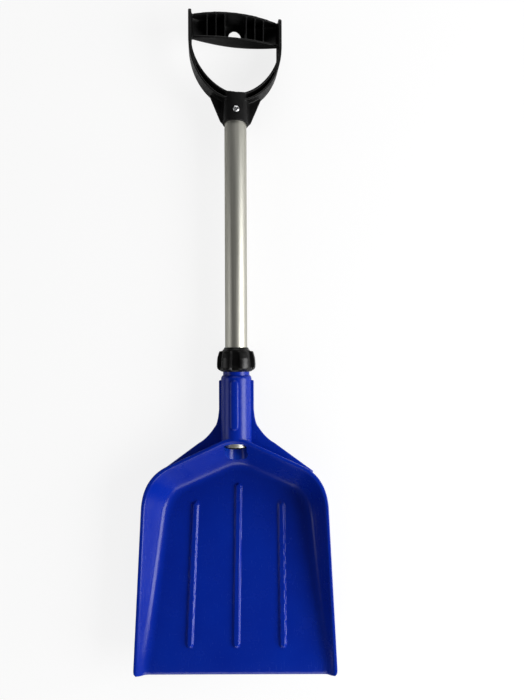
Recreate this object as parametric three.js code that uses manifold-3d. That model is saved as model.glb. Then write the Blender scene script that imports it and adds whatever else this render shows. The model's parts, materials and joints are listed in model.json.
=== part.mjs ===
// Camp shovel: a moulded scoop with a threaded socket, a tube shaft held in it by a clamp nut
// and a split ring, and a moulded D-grip screwed to the far end of the shaft.
//
// Millimetres. The shaft's axis is +Y here, pointing from the scoop's mouth to the grip, with
// Y = 0 just under the top of the clamp nut. X is the width and +Z is up, out of the scoop's
// open side. The finished group is moved so that its origin is the middle of its bounding
// box's underside.
import * as THREE from 'three';
import { ConvexGeometry } from 'three/addons/geometries/ConvexGeometry.js';
import { mergeVertices } from 'three/addons/utils/BufferGeometryUtils.js';
import Module from 'manifold-3d';

const wasm = await Module();
wasm.setup();

// ---- Driving dimensions ---------------------------------------------------------------

// Fits
const RUN_GAP = 0.3; // between parts that slide or turn on each other
const SEAT_GAP = 0.3; // between parts that sit against each other
const THREAD_GAP = 0.55; // thread flanks, crest to root

// Shaft
const TUBE_R = 14;
const TUBE_WALL = 1.2;
const TUBE_END_Y = -122.6; // lower end, standing out of the scoop's back wall
const ROUND_SIDES = 48;

// Scoop, rim outline: two rim lines meet in a gable above the shaft and run to the shoulders
const RIM_Z = 19;
const RIM_APEX_Y = -112.5;
const RIM_HALF_AT_MOUTH = 127.5;
const RIM_FLARE = THREE.MathUtils.degToRad(2.9);
const MOUTH_Y = -405;
const GABLE = THREE.MathUtils.degToRad(23.6);
const APEX_ROUND = 18; // half-width of the rounded gable top
const SHOULDER_ROUND_IN = 21; // along the gable, back from the shoulder's corner
const SHOULDER_ROUND_DOWN = 34; // along the side, down from the shoulder's corner

// Scoop, floor
const FOLD_APEX_Y = -146;
const FOLD_Z = -24;
const FLOOR_HALF_AT_MOUTH = 115.4;
const FLOOR_FLARE = THREE.MathUtils.degToRad(5.6);
const FLOOR_RISE = THREE.MathUtils.degToRad(7.7);
const FLOOR_FILLET = 15; // reach of the fillet along the wall and along the floor
const SCOOP_WALL = 3;
const RIM_LIP_OUT = 1.2;
const RIM_LIP_DEPTH = 3.5;
const TIP_REACH = 2; // the walls' front tips reach past the floor's front edge
const LIP_CHAMFER = 1.8; // underside of the floor's front edge

// Floor beads
const BEAD_HALF_WIDTH = 4.65;
const BEAD_HEIGHT = 2.8;
const BEAD_END_Y = -376;
const CENTRE_BEAD_START_Y = -174.3;
const SIDE_BEAD_START_Y = -197.7;
const SIDE_BEAD_X = 56;
const SIDE_BEAD_SPLAY = THREE.MathUtils.degToRad(0.95);
const GROOVE_HALF_WIDTH = 2.9;
const GROOVE_DEPTH = 2.2;

// Socket on the scoop
const SOCKET_R_TOP = 19.3;
const SOCKET_R_BOTTOM = 19.8;
const SOCKET_TOP_Y = -32;
const SOCKET_END_Y = -150; // inside the bowl, where the bowl's hollow trims it
const SOCKET_SHOULDER = 2;
const FIN_HALF_WIDTH = 22.2;
const FIN_TOP_Y = -38;
const FIN_CHAMFER = 1.6;
const FIN_STRAIGHT_END_Y = -75;
const GUSSET_WAIST = new THREE.Vector2(28, -98);
const GUSSET_KNEE = new THREE.Vector2(48, -118.2);
const GUSSET_TOE = new THREE.Vector2(98, -154.8);
const GUSSET_THICKNESS = 3;
const SOCKET_RIB_HALF_WIDTH = 4.7;
const SOCKET_RIB_TOP_Y = -37;
const SOCKET_RIB_BOTTOM_Y = -100;
const SOCKET_RIB_HEIGHT = 1.3;
const SOCKET_RIB_HALF_DEPTH = 2.3;

// Thread and clamp
const THREAD_PITCH = 4;
const THREAD_CREST_R = 16.7;
const THREAD_DEPTH = 1.1;
const NECK_END_Y = -9;
const NUT_TOP_Y = 3.5;
const NUT_BOTTOM_Y = -27;
const NUT_TOP_R = 15.4;
const NUT_TOP_CHAMFER = 1.6;
const NUT_TOP_RING_HEIGHT = 2.6;
const NUT_CORE_R = 19.4; // bottom of the grooves between the lobes
const NUT_COLLAR_R = 18.6;
const NUT_COLLAR_HEIGHT = 4.2;
const NUT_LOBE_R_TOP = 21.2;
const NUT_LOBE_R = 24.5;
const NUT_LOBE_WIDEST_Y = -17;
const NUT_LOBES = 6;
const NUT_LOBE_ARC = THREE.MathUtils.degToRad(34);
const NUT_LOBE_START = THREE.MathUtils.degToRad(33);
const RING_LENGTH = 7.4;
const RING_THICK_END = 1.35;
const RING_THIN_END = 0.75;
const RING_SLIT = 2.2;
const NUT_MOUTH_GAP = 0.6; // round the shaft at the nut's top opening

// End plug
const PLUG_RIM = 1.3;
const PLUG_SPIGOT_LENGTH = 12;
const PLUG_WALL = 1.6;

// Grip, in its own frame before it is twisted on the shaft
const GRIP_TWIST = THREE.MathUtils.degToRad(11);
const GRIP_MOUTH_Y = 288;
const GRIP_TOP_Y = 423;
const GRIP_SOCKET_R = 16.6;
const GRIP_BORE_DEPTH = 30;
const GRIP_HALF_DEPTH = 12.5;
const EYE_CENTRE_Y = 388; // the finger opening is half an ellipse below this line
const EYE_HALF_WIDTH = 53;
const EYE_DROP = 66;
const ARM_HALF_WIDTH = 58.4;
const ARM_DROP = 74.5;
const ARM_FLANGE = 2.6;
const ARM_WEB = 3;
const EAR_ROUND = 5;
const YOKE_FIN_HALF_WIDTH = 19.5;
const YOKE_FIN_TOP = new THREE.Vector2(33, 323);
const YOKE_FIN_CHAMFER = 3;
const YOKE_FIN_THICKNESS = 3;

// Grip crossbar: a barrel-shaped trough that is open on its front
const BAR_BOTTOM_Y = 391;
const BAR_TOP_Y = 423;
const BAR_ARCH = 3; // the top wall's drop from the middle to the ends
const BAR_WALL = 2.5;
const BAR_FRONT_MID = 13;
const BAR_FRONT_END = 4;
const BAR_BACK_MID = 15;
const BAR_BACK_END = 9.5;
const RIB_THICKNESS = 1.8;
const RIB_FIRST_X = 13.4;
const RIB_PITCH = 11;
const RIBS_PER_SIDE = 3;
const RIB_BELOW_RIM = 1.6;
const HANG_HOLE_R = 8.5;

// Grip screw
const SCREW_Y = 301;
const SCREW_SHANK_R = 2;
const SCREW_HOLE_R = SCREW_SHANK_R + RUN_GAP;
const SCREW_HEAD_R = 4;
const SCREW_HEAD_HEIGHT = 2.4;
const SCREW_TIP_PAST_TUBE = 6;
const RECESS_WIDTH = 1.1;
const RECESS_LENGTH = 4.6;
const RECESS_DEPTH = 1.3;

const SLIVER = 0.01; // detail finer than this is merged away after the booleans

// ---- Solids ---------------------------------------------------------------------------

function solidOf(geometry) {
  const bare = new THREE.BufferGeometry();
  bare.setAttribute('position', geometry.getAttribute('position').clone());
  if (geometry.index) bare.setIndex(geometry.index.clone());
  const merged = mergeVertices(bare, 1e-4);
  const mesh = new wasm.Mesh({
    numProp: 3,
    vertProperties: new Float32Array(merged.getAttribute('position').array),
    triVerts: new Uint32Array(merged.index.array),
  });
  mesh.merge();
  return new wasm.Manifold(mesh);
}

function meshOf(name, solid, material) {
  const data = solid.simplify(SLIVER).getMesh();
  const geometry = new THREE.BufferGeometry();
  geometry.setAttribute('position', new THREE.BufferAttribute(data.vertProperties, data.numProp));
  geometry.setIndex(new THREE.BufferAttribute(data.triVerts, 1));
  geometry.computeVertexNormals();
  const mesh = new THREE.Mesh(geometry, material);
  mesh.name = name;
  return mesh;
}

function unite(solids) {
  return solids.reduce((whole, piece) => whole.add(piece));
}

function box(xLow, xHigh, yLow, yHigh, zLow, zHigh) {
  const geometry = new THREE.BoxGeometry(xHigh - xLow, yHigh - yLow, zHigh - zLow);
  geometry.translate((xLow + xHigh) / 2, (yLow + yHigh) / 2, (zLow + zHigh) / 2);
  return solidOf(geometry);
}

// A turned solid about the Y axis, from [radius, y] points of a closed section.
function turned(points, sides = ROUND_SIDES) {
  const section = points.map(([r, y]) => new THREE.Vector2(r, y));
  if (points[0][0] > 0) section.push(section[0].clone());
  return solidOf(outward(new THREE.LatheGeometry(section, sides)));
}

// Turns a closed geometry's faces outward when its section was drawn the other way round.
function outward(geometry) {
  const position = geometry.getAttribute('position');
  const index = geometry.index.array;
  const [a, b, c] = [new THREE.Vector3(), new THREE.Vector3(), new THREE.Vector3()];
  let volume = 0;
  for (let i = 0; i < index.length; i += 3) {
    a.fromBufferAttribute(position, index[i]);
    b.fromBufferAttribute(position, index[i + 1]);
    c.fromBufferAttribute(position, index[i + 2]);
    volume += a.dot(b.cross(c));
  }
  if (volume < 0) index.reverse();
  return geometry;
}

function cylinderAlongY(radius, yLow, yHigh, sides = ROUND_SIDES) {
  const geometry = new THREE.CylinderGeometry(radius, radius, yHigh - yLow, sides);
  geometry.translate(0, (yLow + yHigh) / 2, 0);
  return solidOf(geometry);
}

function cylinderAlongZ(radius, x, y, zLow, zHigh, sides = 24) {
  const geometry = new THREE.CylinderGeometry(radius, radius, zHigh - zLow, sides);
  geometry.rotateX(Math.PI / 2);
  geometry.translate(x, y, (zLow + zHigh) / 2);
  return solidOf(geometry);
}

// A flat outline in X and Y given a thickness in Z.
function plate(shape, zLow, zHigh, curveSegments = 12) {
  const options = { depth: zHigh - zLow, bevelEnabled: false, curveSegments };
  const geometry = new THREE.ExtrudeGeometry(shape, options);
  geometry.translate(0, 0, zLow);
  return solidOf(geometry);
}

function mirroredShape(rightHalf) {
  const leftHalf = rightHalf.filter((p) => p.x > 0).map((p) => new THREE.Vector2(-p.x, p.y));
  return new THREE.Shape([...rightHalf, ...leftHalf.reverse()]);
}

// ---- Scoop ----------------------------------------------------------------------------

const RIM_PLAN = { apexY: RIM_APEX_Y, halfAtMouth: RIM_HALF_AT_MOUTH, flare: RIM_FLARE };
const FOLD_PLAN = { apexY: FOLD_APEX_Y, halfAtMouth: FLOOR_HALF_AT_MOUTH, flare: FLOOR_FLARE };

// The right half of a gabled outline, from the gable's rounded top to the mouth. A positive
// offset moves every line outward.
function gabledOutline({ apexY, halfAtMouth, flare }, offset, endY) {
  const apex = apexY + offset / Math.cos(GABLE);
  const sideX = (y) => halfAtMouth + offset / Math.cos(flare) - (y - MOUTH_Y) * Math.tan(flare);
  const cornerY = (apex - Math.tan(GABLE) * sideX(MOUTH_Y) - Math.tan(GABLE) * Math.tan(flare) * MOUTH_Y)
    / (1 - Math.tan(GABLE) * Math.tan(flare));
  const corner = new THREE.Vector2(sideX(cornerY), cornerY);
  const along = new THREE.Vector2(Math.cos(GABLE), -Math.sin(GABLE));
  const down = new THREE.Vector2(Math.sin(flare), -Math.cos(flare));
  const topCurve = new THREE.QuadraticBezierCurve(
    new THREE.Vector2(-APEX_ROUND, apex - APEX_ROUND * Math.tan(GABLE)),
    new THREE.Vector2(0, apex),
    new THREE.Vector2(APEX_ROUND, apex - APEX_ROUND * Math.tan(GABLE)),
  );
  const shoulder = new THREE.QuadraticBezierCurve(
    corner.clone().addScaledVector(along, -SHOULDER_ROUND_IN),
    corner,
    corner.clone().addScaledVector(down, SHOULDER_ROUND_DOWN),
  );
  const top = topCurve.getPoints(8).slice(4);
  return [...top, ...shoulder.getPoints(8), new THREE.Vector2(sideX(endY), endY)];
}

function floorZ(y) {
  return FOLD_Z + (FOLD_APEX_Y - y) * Math.tan(FLOOR_RISE);
}

// The scoop's body as a filled convex solid, either its outside (offset = wall) or its
// hollow (offset = 0). The hollow also runs up past the rim and out of the mouth.
function bowlBody(offset, endY, topZ) {
  const drop = offset / Math.cos(FLOOR_RISE);
  const rimInset = RIM_LIP_OUT + SCOOP_WALL - offset;
  const lift = (p) => new THREE.Vector3(p.x, p.y, floorZ(p.y) - drop);
  const rim = gabledOutline(RIM_PLAN, -rimInset, endY).map((p) => new THREE.Vector3(p.x, p.y, RIM_Z));
  const fold = gabledOutline(FOLD_PLAN, offset, endY).map(lift);
  const floor = gabledOutline(FOLD_PLAN, offset - FLOOR_FILLET, endY).map(lift);
  const points = [];
  rim.forEach((rimPoint, i) => {
    const height = rimPoint.distanceTo(fold[i]);
    const reach = Math.min(FLOOR_FILLET, 0.6 * height);
    const onWall = fold[i].clone().lerp(rimPoint, reach / height);
    const onFloor = fold[i].clone().lerp(floor[i], reach / FLOOR_FILLET);
    const fillet = new THREE.QuadraticBezierCurve3(onWall, fold[i], onFloor);
    points.push(rimPoint, new THREE.Vector3(rimPoint.x, rimPoint.y, topZ), ...fillet.getPoints(5));
  });
  const mirrored = points.map((p) => new THREE.Vector3(-p.x, p.y, p.z));
  return solidOf(new ConvexGeometry([...points, ...mirrored]));
}

function rimLip() {
  const outline = gabledOutline(RIM_PLAN, 0, MOUTH_Y);
  return plate(mirroredShape(outline), RIM_Z - RIM_LIP_DEPTH, RIM_Z);
}

// A long bead with round ends, half sunk in the floor or in the floor's underside.
function floorRod(x, startY, endY, splay, halfWidth, halfHeight, sink) {
  const length = (startY - endY) / Math.cos(splay) - 2 * halfWidth;
  const geometry = new THREE.CapsuleGeometry(halfWidth, length, 4, 16);
  geometry.scale(1, 1, halfHeight / halfWidth);
  geometry.rotateZ(splay);
  geometry.rotateX(-FLOOR_RISE);
  const middleY = (startY + endY) / 2;
  const spread = Math.tan(splay) * (startY - endY) / 2;
  geometry.translate(x + spread, middleY, floorZ(middleY) - sink);
  return solidOf(geometry);
}

const BEADS = [
  { x: 0, startY: CENTRE_BEAD_START_Y, splay: 0 },
  { x: SIDE_BEAD_X, startY: SIDE_BEAD_START_Y, splay: SIDE_BEAD_SPLAY },
  { x: -SIDE_BEAD_X, startY: SIDE_BEAD_START_Y, splay: -SIDE_BEAD_SPLAY },
];

function floorBeads() {
  return BEADS.map(({ x, startY, splay }) =>
    floorRod(x, startY, BEAD_END_Y, splay, BEAD_HALF_WIDTH, BEAD_HEIGHT, 0));
}

function beadGrooves() {
  const inset = BEAD_HALF_WIDTH - GROOVE_HALF_WIDTH;
  const underside = SCOOP_WALL / Math.cos(FLOOR_RISE);
  return BEADS.map(({ x, startY, splay }) =>
    floorRod(x, startY - inset, BEAD_END_Y + inset, splay, GROOVE_HALF_WIDTH, GROOVE_DEPTH, underside));
}

function gusset() {
  const flare = new THREE.QuadraticBezierCurve(
    new THREE.Vector2(FIN_HALF_WIDTH, FIN_STRAIGHT_END_Y),
    new THREE.Vector2(FIN_HALF_WIDTH + 1.5, GUSSET_WAIST.y + 4),
    GUSSET_WAIST,
  );
  const knee = new THREE.QuadraticBezierCurve(
    GUSSET_WAIST,
    new THREE.Vector2((GUSSET_WAIST.x + GUSSET_KNEE.x) / 2 - 1, GUSSET_KNEE.y + 6),
    GUSSET_KNEE,
  );
  const half = [
    new THREE.Vector2(FIN_HALF_WIDTH - FIN_CHAMFER, FIN_TOP_Y),
    new THREE.Vector2(FIN_HALF_WIDTH, FIN_TOP_Y - FIN_CHAMFER),
    ...flare.getPoints(5),
    ...knee.getPoints(5).slice(1),
    GUSSET_TOE,
    new THREE.Vector2(GUSSET_TOE.x - 12, GUSSET_TOE.y - 20),
    new THREE.Vector2(FIN_HALF_WIDTH, SOCKET_END_Y),
  ];
  return plate(mirroredShape(half), -GUSSET_THICKNESS / 2, GUSSET_THICKNESS / 2);
}

// A round bar along Y whose surface is a screw thread. The radius follows a rounded
// triangle wave of y minus the helix's advance, and fades out at the plain end.
function threadedBar(rootR, crestR, yLow, yHigh) {
  const rows = Math.round((yHigh - yLow) / THREAD_PITCH * 6);
  const bar = new THREE.CylinderGeometry(rootR, rootR, yHigh - yLow, ROUND_SIDES / 2, rows);
  bar.translate(0, (yLow + yHigh) / 2, 0);
  const position = bar.getAttribute('position');
  for (let i = 0; i < position.count; i += 1) {
    const [x, y, z] = [position.getX(i), position.getY(i), position.getZ(i)];
    if (Math.hypot(x, z) < rootR / 2) continue;
    const turn = Math.atan2(x, z) / (2 * Math.PI);
    const phase = y / THREAD_PITCH - turn;
    const wave = 0.5 + 0.5 * Math.cos(2 * Math.PI * phase);
    const radius = rootR + (crestR - rootR) * THREE.MathUtils.smoothstep(wave, 0.2, 0.8);
    position.setXYZ(i, x / Math.hypot(x, z) * radius, y, z / Math.hypot(x, z) * radius);
  }
  return solidOf(bar);
}

const THREAD_ROOT_R = THREAD_CREST_R - THREAD_DEPTH;
const BORE_R = TUBE_R + RUN_GAP;
const NECK_R = THREAD_CREST_R;
const THREAD_LOW_Y = NUT_BOTTOM_Y + 3;

function socketBody() {
  const body = turned([
    [0, SOCKET_END_Y],
    [SOCKET_R_BOTTOM, SOCKET_END_Y],
    [SOCKET_R_TOP, SOCKET_TOP_Y - SOCKET_SHOULDER],
    [SOCKET_R_TOP - 0.6, SOCKET_TOP_Y - 0.6],
    [NECK_R + 0.5, SOCKET_TOP_Y + 0.3],
    [NECK_R, SOCKET_TOP_Y + 1],
    [NECK_R, THREAD_LOW_Y],
    [0, THREAD_LOW_Y],
  ]);
  const thread = threadedBar(THREAD_ROOT_R, THREAD_CREST_R, THREAD_LOW_Y - 1, NECK_END_Y);
  return body.add(thread.intersect(threadBlank()));
}

// The plain blank that the neck's thread is cut on, with a lead-in chamfer at its free end.
function threadBlank() {
  return turned([
    [0, THREAD_LOW_Y - 1],
    [THREAD_CREST_R, THREAD_LOW_Y - 1],
    [THREAD_CREST_R, NECK_END_Y - 1.6],
    [THREAD_ROOT_R - 0.3, NECK_END_Y],
    [0, NECK_END_Y],
  ]);
}

function socketRib() {
  const length = SOCKET_RIB_TOP_Y - SOCKET_RIB_BOTTOM_Y - 2 * SOCKET_RIB_HALF_WIDTH;
  const geometry = new THREE.CapsuleGeometry(SOCKET_RIB_HALF_WIDTH, length, 4, 16);
  geometry.scale(1, 1, SOCKET_RIB_HALF_DEPTH / SOCKET_RIB_HALF_WIDTH);
  const surface = (SOCKET_R_TOP + SOCKET_R_BOTTOM) / 2;
  const middleY = (SOCKET_RIB_TOP_Y + SOCKET_RIB_BOTTOM_Y) / 2;
  geometry.translate(0, middleY, surface + SOCKET_RIB_HEIGHT - SOCKET_RIB_HALF_DEPTH);
  return solidOf(geometry);
}

// Takes the floor's front edge back between the wall tips and thins it from below.
function mouthTrim() {
  const half = RIM_HALF_AT_MOUTH - 2 * SCOOP_WALL;
  const edge = box(-half, half, MOUTH_Y - 1, MOUTH_Y + TIP_REACH, FOLD_Z, RIM_Z + 1);
  const wedge = new THREE.BoxGeometry(4 * half, 12, 6);
  wedge.rotateX(-FLOOR_RISE - THREE.MathUtils.degToRad(14));
  const lipY = MOUTH_Y + TIP_REACH;
  wedge.translate(0, lipY, floorZ(lipY) - SCOOP_WALL - 3 + LIP_CHAMFER);
  return [edge, solidOf(wedge)];
}

function makeScoop(material) {
  const outside = bowlBody(SCOOP_WALL, MOUTH_Y, RIM_Z);
  const hollow = bowlBody(0, MOUTH_Y - 60, RIM_Z + 60);
  const shell = unite([outside, rimLip(), socketBody(), socketRib(), gusset()]).subtract(hollow);
  const bored = shell.subtract(cylinderAlongY(BORE_R, SOCKET_END_Y - 10, NUT_TOP_Y));
  const beaded = unite([bored, ...floorBeads()]);
  const cut = [...beadGrooves(), ...mouthTrim()].reduce((whole, tool) => whole.subtract(tool), beaded);
  return meshOf('scoop', cut, material);
}

// ---- Clamp nut and clamp ring ------------------------------------------------------------

const RING_LOW_Y = NECK_END_Y + SEAT_GAP + 0.4;
const RING_HIGH_Y = RING_LOW_Y + RING_LENGTH;

function ringSection(grow) {
  return [
    [BORE_R, RING_LOW_Y],
    [BORE_R + RING_THICK_END + grow, RING_LOW_Y],
    [BORE_R + RING_THICK_END + grow, RING_LOW_Y + 1.6],
    [BORE_R + RING_THIN_END + grow, RING_HIGH_Y],
    [BORE_R, RING_HIGH_Y],
  ];
}

function makeClampRing(material) {
  const ring = turned(ringSection(0));
  const slit = box(-RING_SLIT / 2, RING_SLIT / 2, RING_LOW_Y - 1, RING_HIGH_Y + 1, -TUBE_R * 2, 0);
  return meshOf('clamp_ring', ring.subtract(slit), material);
}

// The hollow inside the nut: female thread, a plain run past the neck's end, the cone that
// squeezes the ring and the opening for the shaft.
function nutHollow() {
  const bore = threadedBar(
    THREAD_ROOT_R + THREAD_GAP,
    THREAD_CREST_R + THREAD_GAP,
    NUT_BOTTOM_Y - 1,
    NECK_END_Y + SEAT_GAP,
  );
  const cone = turned([
    [0, NECK_END_Y - 1],
    [THREAD_CREST_R + THREAD_GAP, NECK_END_Y - 1],
    [THREAD_CREST_R + THREAD_GAP, RING_LOW_Y + 1.2],
    [BORE_R + RING_THICK_END + SEAT_GAP, RING_LOW_Y + 1.8],
    [BORE_R + RING_THIN_END + SEAT_GAP, RING_HIGH_Y + SEAT_GAP],
    [TUBE_R + NUT_MOUTH_GAP, RING_HIGH_Y + SEAT_GAP],
    [TUBE_R + NUT_MOUTH_GAP, NUT_TOP_Y + 1],
    [0, NUT_TOP_Y + 1],
  ]);
  const mouth = turned([
    [0, NUT_BOTTOM_Y - 1],
    [THREAD_CREST_R + THREAD_GAP + 0.2, NUT_BOTTOM_Y - 1],
    [THREAD_CREST_R + THREAD_GAP + 0.2, NUT_BOTTOM_Y + 3],
    [THREAD_ROOT_R, NUT_BOTTOM_Y + 4.5],
    [0, NUT_BOTTOM_Y + 4.5],
  ]);
  return unite([bore, cone, mouth]);
}

function nutCore() {
  return turned([
    [0, NUT_BOTTOM_Y],
    [NUT_COLLAR_R, NUT_BOTTOM_Y],
    [NUT_COLLAR_R + 1, NUT_BOTTOM_Y + 1],
    [NUT_CORE_R + 1.6, NUT_BOTTOM_Y + NUT_COLLAR_HEIGHT],
    [NUT_CORE_R, NUT_LOBE_WIDEST_Y],
    [NUT_CORE_R - 2.2, NUT_TOP_Y - NUT_TOP_RING_HEIGHT],
    [NUT_TOP_R + 1, NUT_TOP_Y - NUT_TOP_RING_HEIGHT + 0.6],
    [NUT_TOP_R, NUT_TOP_Y - NUT_TOP_CHAMFER / 2],
    [NUT_TOP_R - 0.6, NUT_TOP_Y],
    [0, NUT_TOP_Y],
  ]);
}

// The turned envelope that the lobes are cut to.
function lobeEnvelope() {
  return turned([
    [0, NUT_BOTTOM_Y + 1],
    [NUT_COLLAR_R + 1.6, NUT_BOTTOM_Y + 1],
    [NUT_LOBE_R - 1.6, NUT_BOTTOM_Y + NUT_COLLAR_HEIGHT],
    [NUT_LOBE_R - 0.3, NUT_BOTTOM_Y + NUT_COLLAR_HEIGHT + 1.8],
    [NUT_LOBE_R, NUT_LOBE_WIDEST_Y],
    [NUT_LOBE_R - 0.7, NUT_LOBE_WIDEST_Y + 8],
    [NUT_LOBE_R_TOP + 0.6, NUT_TOP_Y - NUT_TOP_RING_HEIGHT - 3],
    [NUT_LOBE_R_TOP - 0.8, NUT_TOP_Y - NUT_TOP_RING_HEIGHT - 0.6],
    [NUT_TOP_R + 0.6, NUT_TOP_Y - NUT_TOP_RING_HEIGHT],
    [0, NUT_TOP_Y - NUT_TOP_RING_HEIGHT],
  ]);
}

function lobeWedge(angle) {
  const shape = new THREE.Shape();
  const half = NUT_LOBE_ARC / 2;
  const reach = 2 * NUT_LOBE_R;
  shape.moveTo(0, 0);
  shape.lineTo(reach * Math.sin(angle - half), reach * Math.cos(angle - half));
  shape.lineTo(reach * Math.sin(angle + half), reach * Math.cos(angle + half));
  const geometry = new THREE.ExtrudeGeometry(shape, {
    depth: NUT_TOP_Y - NUT_BOTTOM_Y,
    bevelEnabled: false,
  });
  geometry.rotateX(Math.PI / 2);

  geometry.translate(0, NUT_TOP_Y, 0);
  return solidOf(outward(withIndex(geometry)));
}

function withIndex(geometry) {
  const bare = new THREE.BufferGeometry();
  bare.setAttribute('position', geometry.getAttribute('position').clone());
  return mergeVertices(bare, 1e-4);
}

function makeClampNut(material) {
  const wedges = Array.from({ length: NUT_LOBES }, (_, i) =>
    lobeWedge(NUT_LOBE_START + i * 2 * Math.PI / NUT_LOBES));
  const lobes = unite(wedges).intersect(lobeEnvelope());
  return meshOf('clamp_nut', nutCore().add(lobes).subtract(nutHollow()), material);
}

// ---- Shaft tube and end plug ---------------------------------------------------------------

const TUBE_BORE_R = TUBE_R - TUBE_WALL;
const TUBE_TOP_Y = GRIP_MOUTH_Y + GRIP_BORE_DEPTH - SEAT_GAP;

function makeTube(material) {
  const tube = turned([
    [TUBE_BORE_R, TUBE_END_Y],
    [TUBE_R, TUBE_END_Y],
    [TUBE_R, TUBE_TOP_Y],
    [TUBE_BORE_R, TUBE_TOP_Y],
  ]);
  return meshOf('shaft_tube', tube.subtract(cylinderAlongZ(SCREW_HOLE_R, 0, SCREW_Y, 0, 2 * TUBE_R)), material);
}

function makeEndPlug(material) {
  const spigotR = TUBE_BORE_R - RUN_GAP;
  const seatY = TUBE_END_Y - SEAT_GAP;
  const plug = turned([
    [0, seatY - PLUG_RIM],
    [TUBE_R - 0.7, seatY - PLUG_RIM],
    [TUBE_R - 0.1, seatY - PLUG_RIM + 0.6],
    [TUBE_R - 0.1, seatY],
    [spigotR, seatY],
    [spigotR, seatY + PLUG_SPIGOT_LENGTH - 1],
    [spigotR - 0.8, seatY + PLUG_SPIGOT_LENGTH],
    [spigotR - PLUG_WALL, seatY + PLUG_SPIGOT_LENGTH],
    [spigotR - PLUG_WALL, seatY],
    [0, seatY],
  ]);
  return meshOf('end_plug', plug, material);
}

// ---- Grip and its screw ----------------------------------------------------------------------

// The lower half of an ellipse about the eye's centre, run straight up to topY.
function eyeOutline(halfWidth, drop, topY) {
  const half = new THREE.EllipseCurve(0, EYE_CENTRE_Y, halfWidth, drop, -Math.PI / 2, 0).getPoints(14);
  return mirroredShape([...half, new THREE.Vector2(halfWidth, topY)]);
}

function armPlate() {
  const top = GRIP_TOP_Y;
  const outline = eyeOutline(ARM_HALF_WIDTH, ARM_DROP, top);
  return plate(outline, -GRIP_HALF_DEPTH, GRIP_HALF_DEPTH);
}

// Pockets that leave an inner and an outer flange with a thin web between them.
function armPockets() {
  const outer = eyeOutline(ARM_HALF_WIDTH - ARM_FLANGE, ARM_DROP - ARM_FLANGE, EYE_CENTRE_Y);
  const inner = eyeOutline(EYE_HALF_WIDTH + ARM_FLANGE, EYE_DROP + ARM_FLANGE, EYE_CENTRE_Y);
  return [1, -1].map((side) => {
    const near = side * ARM_WEB / 2;
    const far = side * 2 * GRIP_HALF_DEPTH;
    const [low, high] = [Math.min(near, far), Math.max(near, far)];
    return plate(outer, low, high).subtract(plate(inner, low, high));
  });
}

// Rounds the ears' corners: the grip's side view, run across its width.
function sideProfile() {
  const shape = new THREE.Shape();
  const [bottom, top, half] = [GRIP_MOUTH_Y - 10, GRIP_TOP_Y, GRIP_HALF_DEPTH];
  shape.moveTo(bottom, -half);
  shape.lineTo(top - EAR_ROUND, -half);
  shape.absarc(top - EAR_ROUND, -half + EAR_ROUND, EAR_ROUND, -Math.PI / 2, 0, false);
  shape.absarc(top - EAR_ROUND, half - EAR_ROUND, EAR_ROUND, 0, Math.PI / 2, false);
  shape.lineTo(bottom, half);
  const width = 4 * ARM_HALF_WIDTH;
  const geometry = new THREE.ExtrudeGeometry(shape, { depth: width, bevelEnabled: false, curveSegments: 6 });
  const toYZ = new THREE.Matrix4().set(0, 0, 1, -width / 2, 1, 0, 0, 0, 0, 1, 0, 0, 0, 0, 0, 1);
  geometry.applyMatrix4(toYZ);
  return solidOf(geometry);
}

function yokeFins() {
  const half = [
    new THREE.Vector2(YOKE_FIN_HALF_WIDTH - YOKE_FIN_CHAMFER, GRIP_MOUTH_Y),
    new THREE.Vector2(YOKE_FIN_HALF_WIDTH, GRIP_MOUTH_Y + YOKE_FIN_CHAMFER),
    YOKE_FIN_TOP,
    new THREE.Vector2(GRIP_SOCKET_R, YOKE_FIN_TOP.y),
  ];
  return plate(mirroredShape(half), -YOKE_FIN_THICKNESS / 2, YOKE_FIN_THICKNESS / 2);
}

// The crossbar's trough as a convex solid: its outside (inset 0) or its hollow (inset = wall).
function barBody(inset, halfLength, rise) {
  const stations = 8;
  const points = [];
  for (let i = -stations; i <= stations; i += 1) {
    const x = halfLength * i / stations;
    const bow = 1 - (x / EYE_HALF_WIDTH) ** 2;
    const topY = BAR_TOP_Y - BAR_ARCH * (1 - bow);
    const middleY = (BAR_BOTTOM_Y + topY) / 2;
    const halfWidth = (topY - BAR_BOTTOM_Y) / 2 - inset;
    const front = THREE.MathUtils.lerp(BAR_FRONT_END, BAR_FRONT_MID, bow) + rise;
    const back = THREE.MathUtils.lerp(BAR_BACK_END, BAR_BACK_MID, bow) - inset;
    points.push(new THREE.Vector3(x, middleY - halfWidth, front));
    points.push(new THREE.Vector3(x, middleY + halfWidth, front));
    for (let k = 0; k <= 8; k += 1) {
      const angle = Math.PI * k / 8;
      points.push(new THREE.Vector3(x, middleY - halfWidth * Math.cos(angle), -back * Math.sin(angle)));
    }
  }
  return solidOf(new ConvexGeometry(points));
}

function barRibs() {
  const inside = barBody(BAR_WALL / 2, EYE_HALF_WIDTH, -RIB_BELOW_RIM);
  const slabs = [];
  for (let i = 0; i < RIBS_PER_SIDE; i += 1) {
    for (const side of [-1, 1]) {
      const x = side * (RIB_FIRST_X + i * RIB_PITCH);
      const [low, high] = [x - RIB_THICKNESS / 2, x + RIB_THICKNESS / 2];
      slabs.push(box(low, high, BAR_BOTTOM_Y, BAR_TOP_Y, -2 * BAR_BACK_MID, 2 * BAR_FRONT_MID));
    }
  }
  return unite(slabs).intersect(inside);
}

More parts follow.
